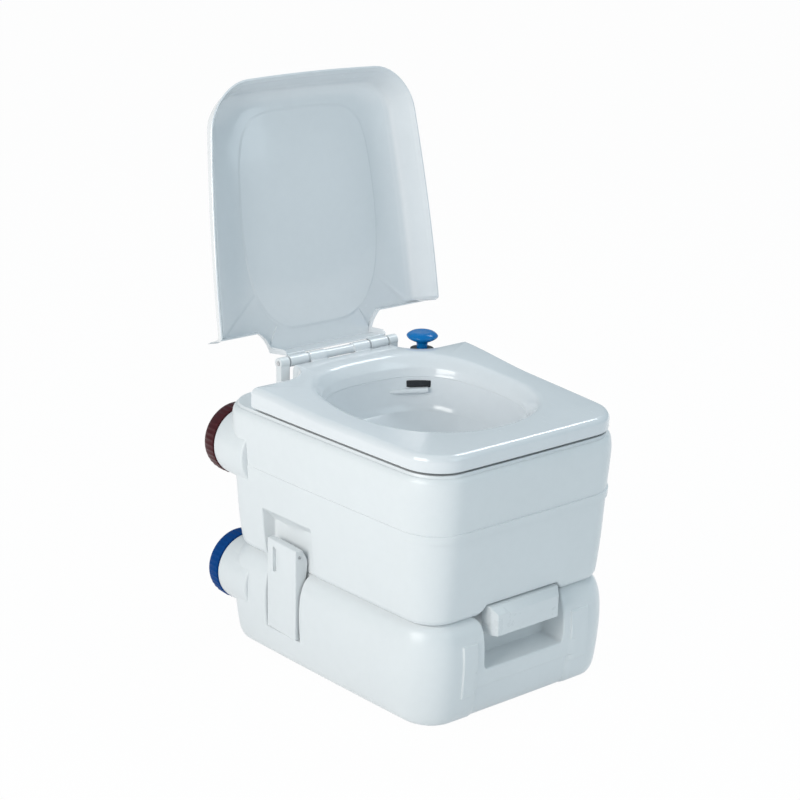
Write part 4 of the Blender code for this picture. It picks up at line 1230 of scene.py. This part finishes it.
class TOILET_OT_stage(bpy.types.Operator):
    """Make the floor, the soft lights, the background and the camera"""
    bl_idname = "toilet.stage"
    bl_label = "Stage"

    def execute(self, context):
        self.floor()
        self.background()
        for name, settings in LAMPS.items():
            self.light(name, *settings)
        self.camera()
        context.scene.view_settings.view_transform = "Standard"
        return {"FINISHED"}

    def floor(self):
        bm = bmesh.new()
        bmesh.ops.create_grid(bm, x_segments=2, y_segments=2, size=15.0)
        mesh = bpy.data.meshes.new("floor")
        bm.to_mesh(mesh)
        bm.free()
        floor = link("floor", mesh)
        material = bpy.data.materials.new("floor_white")
        material.use_nodes = True
        tree = material.node_tree
        shader = tree.nodes["Principled BSDF"]
        shader.inputs["Base Color"].default_value = (0.86, 0.87, 0.88, 1.0)
        shader.inputs["Roughness"].default_value = 0.9
        shader.inputs["Specular IOR Level"].default_value = 0.0
        start = Signal(tree)
        glow = start.node("ShaderNodeEmission", {}, {"Color": PURE_WHITE, "Strength": 1.0})
        seen = seen_white(start)
        mixed = start.node(
            "ShaderNodeMixShader", {},
            {0: seen * 0.975, 1: Signal(tree, shader.outputs["BSDF"]), 2: glow},
        )
        tree.links.new(mixed.socket, tree.nodes["Material Output"].inputs["Surface"])
        mesh.materials.append(material)

    def background(self):
        world = bpy.data.worlds.new("studio")
        bpy.context.scene.world = world
        world.use_nodes = True
        tree = world.node_tree
        start = Signal(tree)
        light = tree.nodes["Background"]
        light.inputs["Color"].default_value = (0.76, 0.92, 1.0, 1.0)
        light.inputs["Strength"].default_value = 0.42
        white = start.node("ShaderNodeBackground", {}, {"Color": PURE_WHITE, "Strength": 1.0})
        seen = start.node("ShaderNodeLightPath", output="Is Camera Ray")
        mixed = start.node(
            "ShaderNodeMixShader", {},
            {0: seen, 1: Signal(tree, light.outputs["Background"]), 2: white},
        )
        tree.links.new(mixed.socket, tree.nodes["World Output"].inputs["Surface"])

    def light(self, name, place, target, size, watts, colour):
        lamp = bpy.data.lights.new(name, "AREA")
        lamp.shape, lamp.size, lamp.energy, lamp.color = "SQUARE", size, watts, colour
        source = link(name, lamp)
        source.location = place
        aim = Vector(target) - Vector(place)
        source.rotation_euler = aim.to_track_quat("-Z", "Y").to_euler()

    def camera(self):
        turn, tilt = math.radians(CAMERA["azimuth"]), math.radians(CAMERA["elevation"])
        roll = math.radians(CAMERA["roll"])
        back = Vector((
            math.sin(turn) * math.cos(tilt), -math.cos(turn) * math.cos(tilt), math.sin(tilt)
        ))
        right = Vector((math.cos(turn), math.sin(turn), 0.0))
        up = back.cross(right)
        c, s = math.cos(roll), math.sin(roll)
        right, up = right * c + up * s, up * c - right * s
        place = Vector(CAMERA["target"]) + back * CAMERA["distance"]
        data = bpy.data.cameras.new("camera")
        data.lens, data.sensor_width = CAMERA["lens"], 36.0
        camera = link("camera", data)
        camera.matrix_world = Matrix((
            (right.x, up.x, back.x, place.x), (right.y, up.y, back.y, place.y),
            (right.z, up.z, back.z, place.z), (0, 0, 0, 1),
        ))
        bpy.context.scene.camera = camera


# ================================================================ panel and registration
OPERATORS = (
    TOILET_OT_waste_tank, TOILET_OT_flush_tank, TOILET_OT_bowl, TOILET_OT_seat, TOILET_OT_lid,
    TOILET_OT_caps, TOILET_OT_knob, TOILET_OT_handle, TOILET_OT_levers, TOILET_OT_hardware,
    TOILET_OT_stage,
)


class TOILET_PT_panel(bpy.types.Panel):
    """Sizes, colours and the pieces of the camp toilet"""
    bl_idname = "TOILET_PT_panel"
    bl_label = "Camp Toilet"
    bl_space_type = "VIEW_3D"
    bl_region_type = "UI"
    bl_category = "Camp Toilet"

    def draw(self, context):
        scene = context.scene
        for group in (scene.toilet_tank, scene.toilet_seat, scene.toilet_finishes):
            box = self.layout.box()
            for name in group.__annotations__:
                box.prop(group, name)
        for operator in OPERATORS:
            self.layout.operator(operator.bl_idname)


CLASSES = (TankSizes, SeatSizes, Finishes, *OPERATORS, TOILET_PT_panel)


def register():
    for item in CLASSES:
        bpy.utils.register_class(item)
    bpy.types.Scene.toilet_tank = bpy.props.PointerProperty(type=TankSizes)
    bpy.types.Scene.toilet_seat = bpy.props.PointerProperty(type=SeatSizes)
    bpy.types.Scene.toilet_finishes = bpy.props.PointerProperty(type=Finishes)


def unregister():
    del bpy.types.Scene.toilet_finishes
    del bpy.types.Scene.toilet_seat
    del bpy.types.Scene.toilet_tank
    for item in reversed(CLASSES):
        bpy.utils.unregister_class(item)


def main():
    register()
    for operator in OPERATORS:
        group, name = operator.bl_idname.split(".")
        getattr(getattr(bpy.ops, group), name)()


if __name__ == "__main__":
    main()
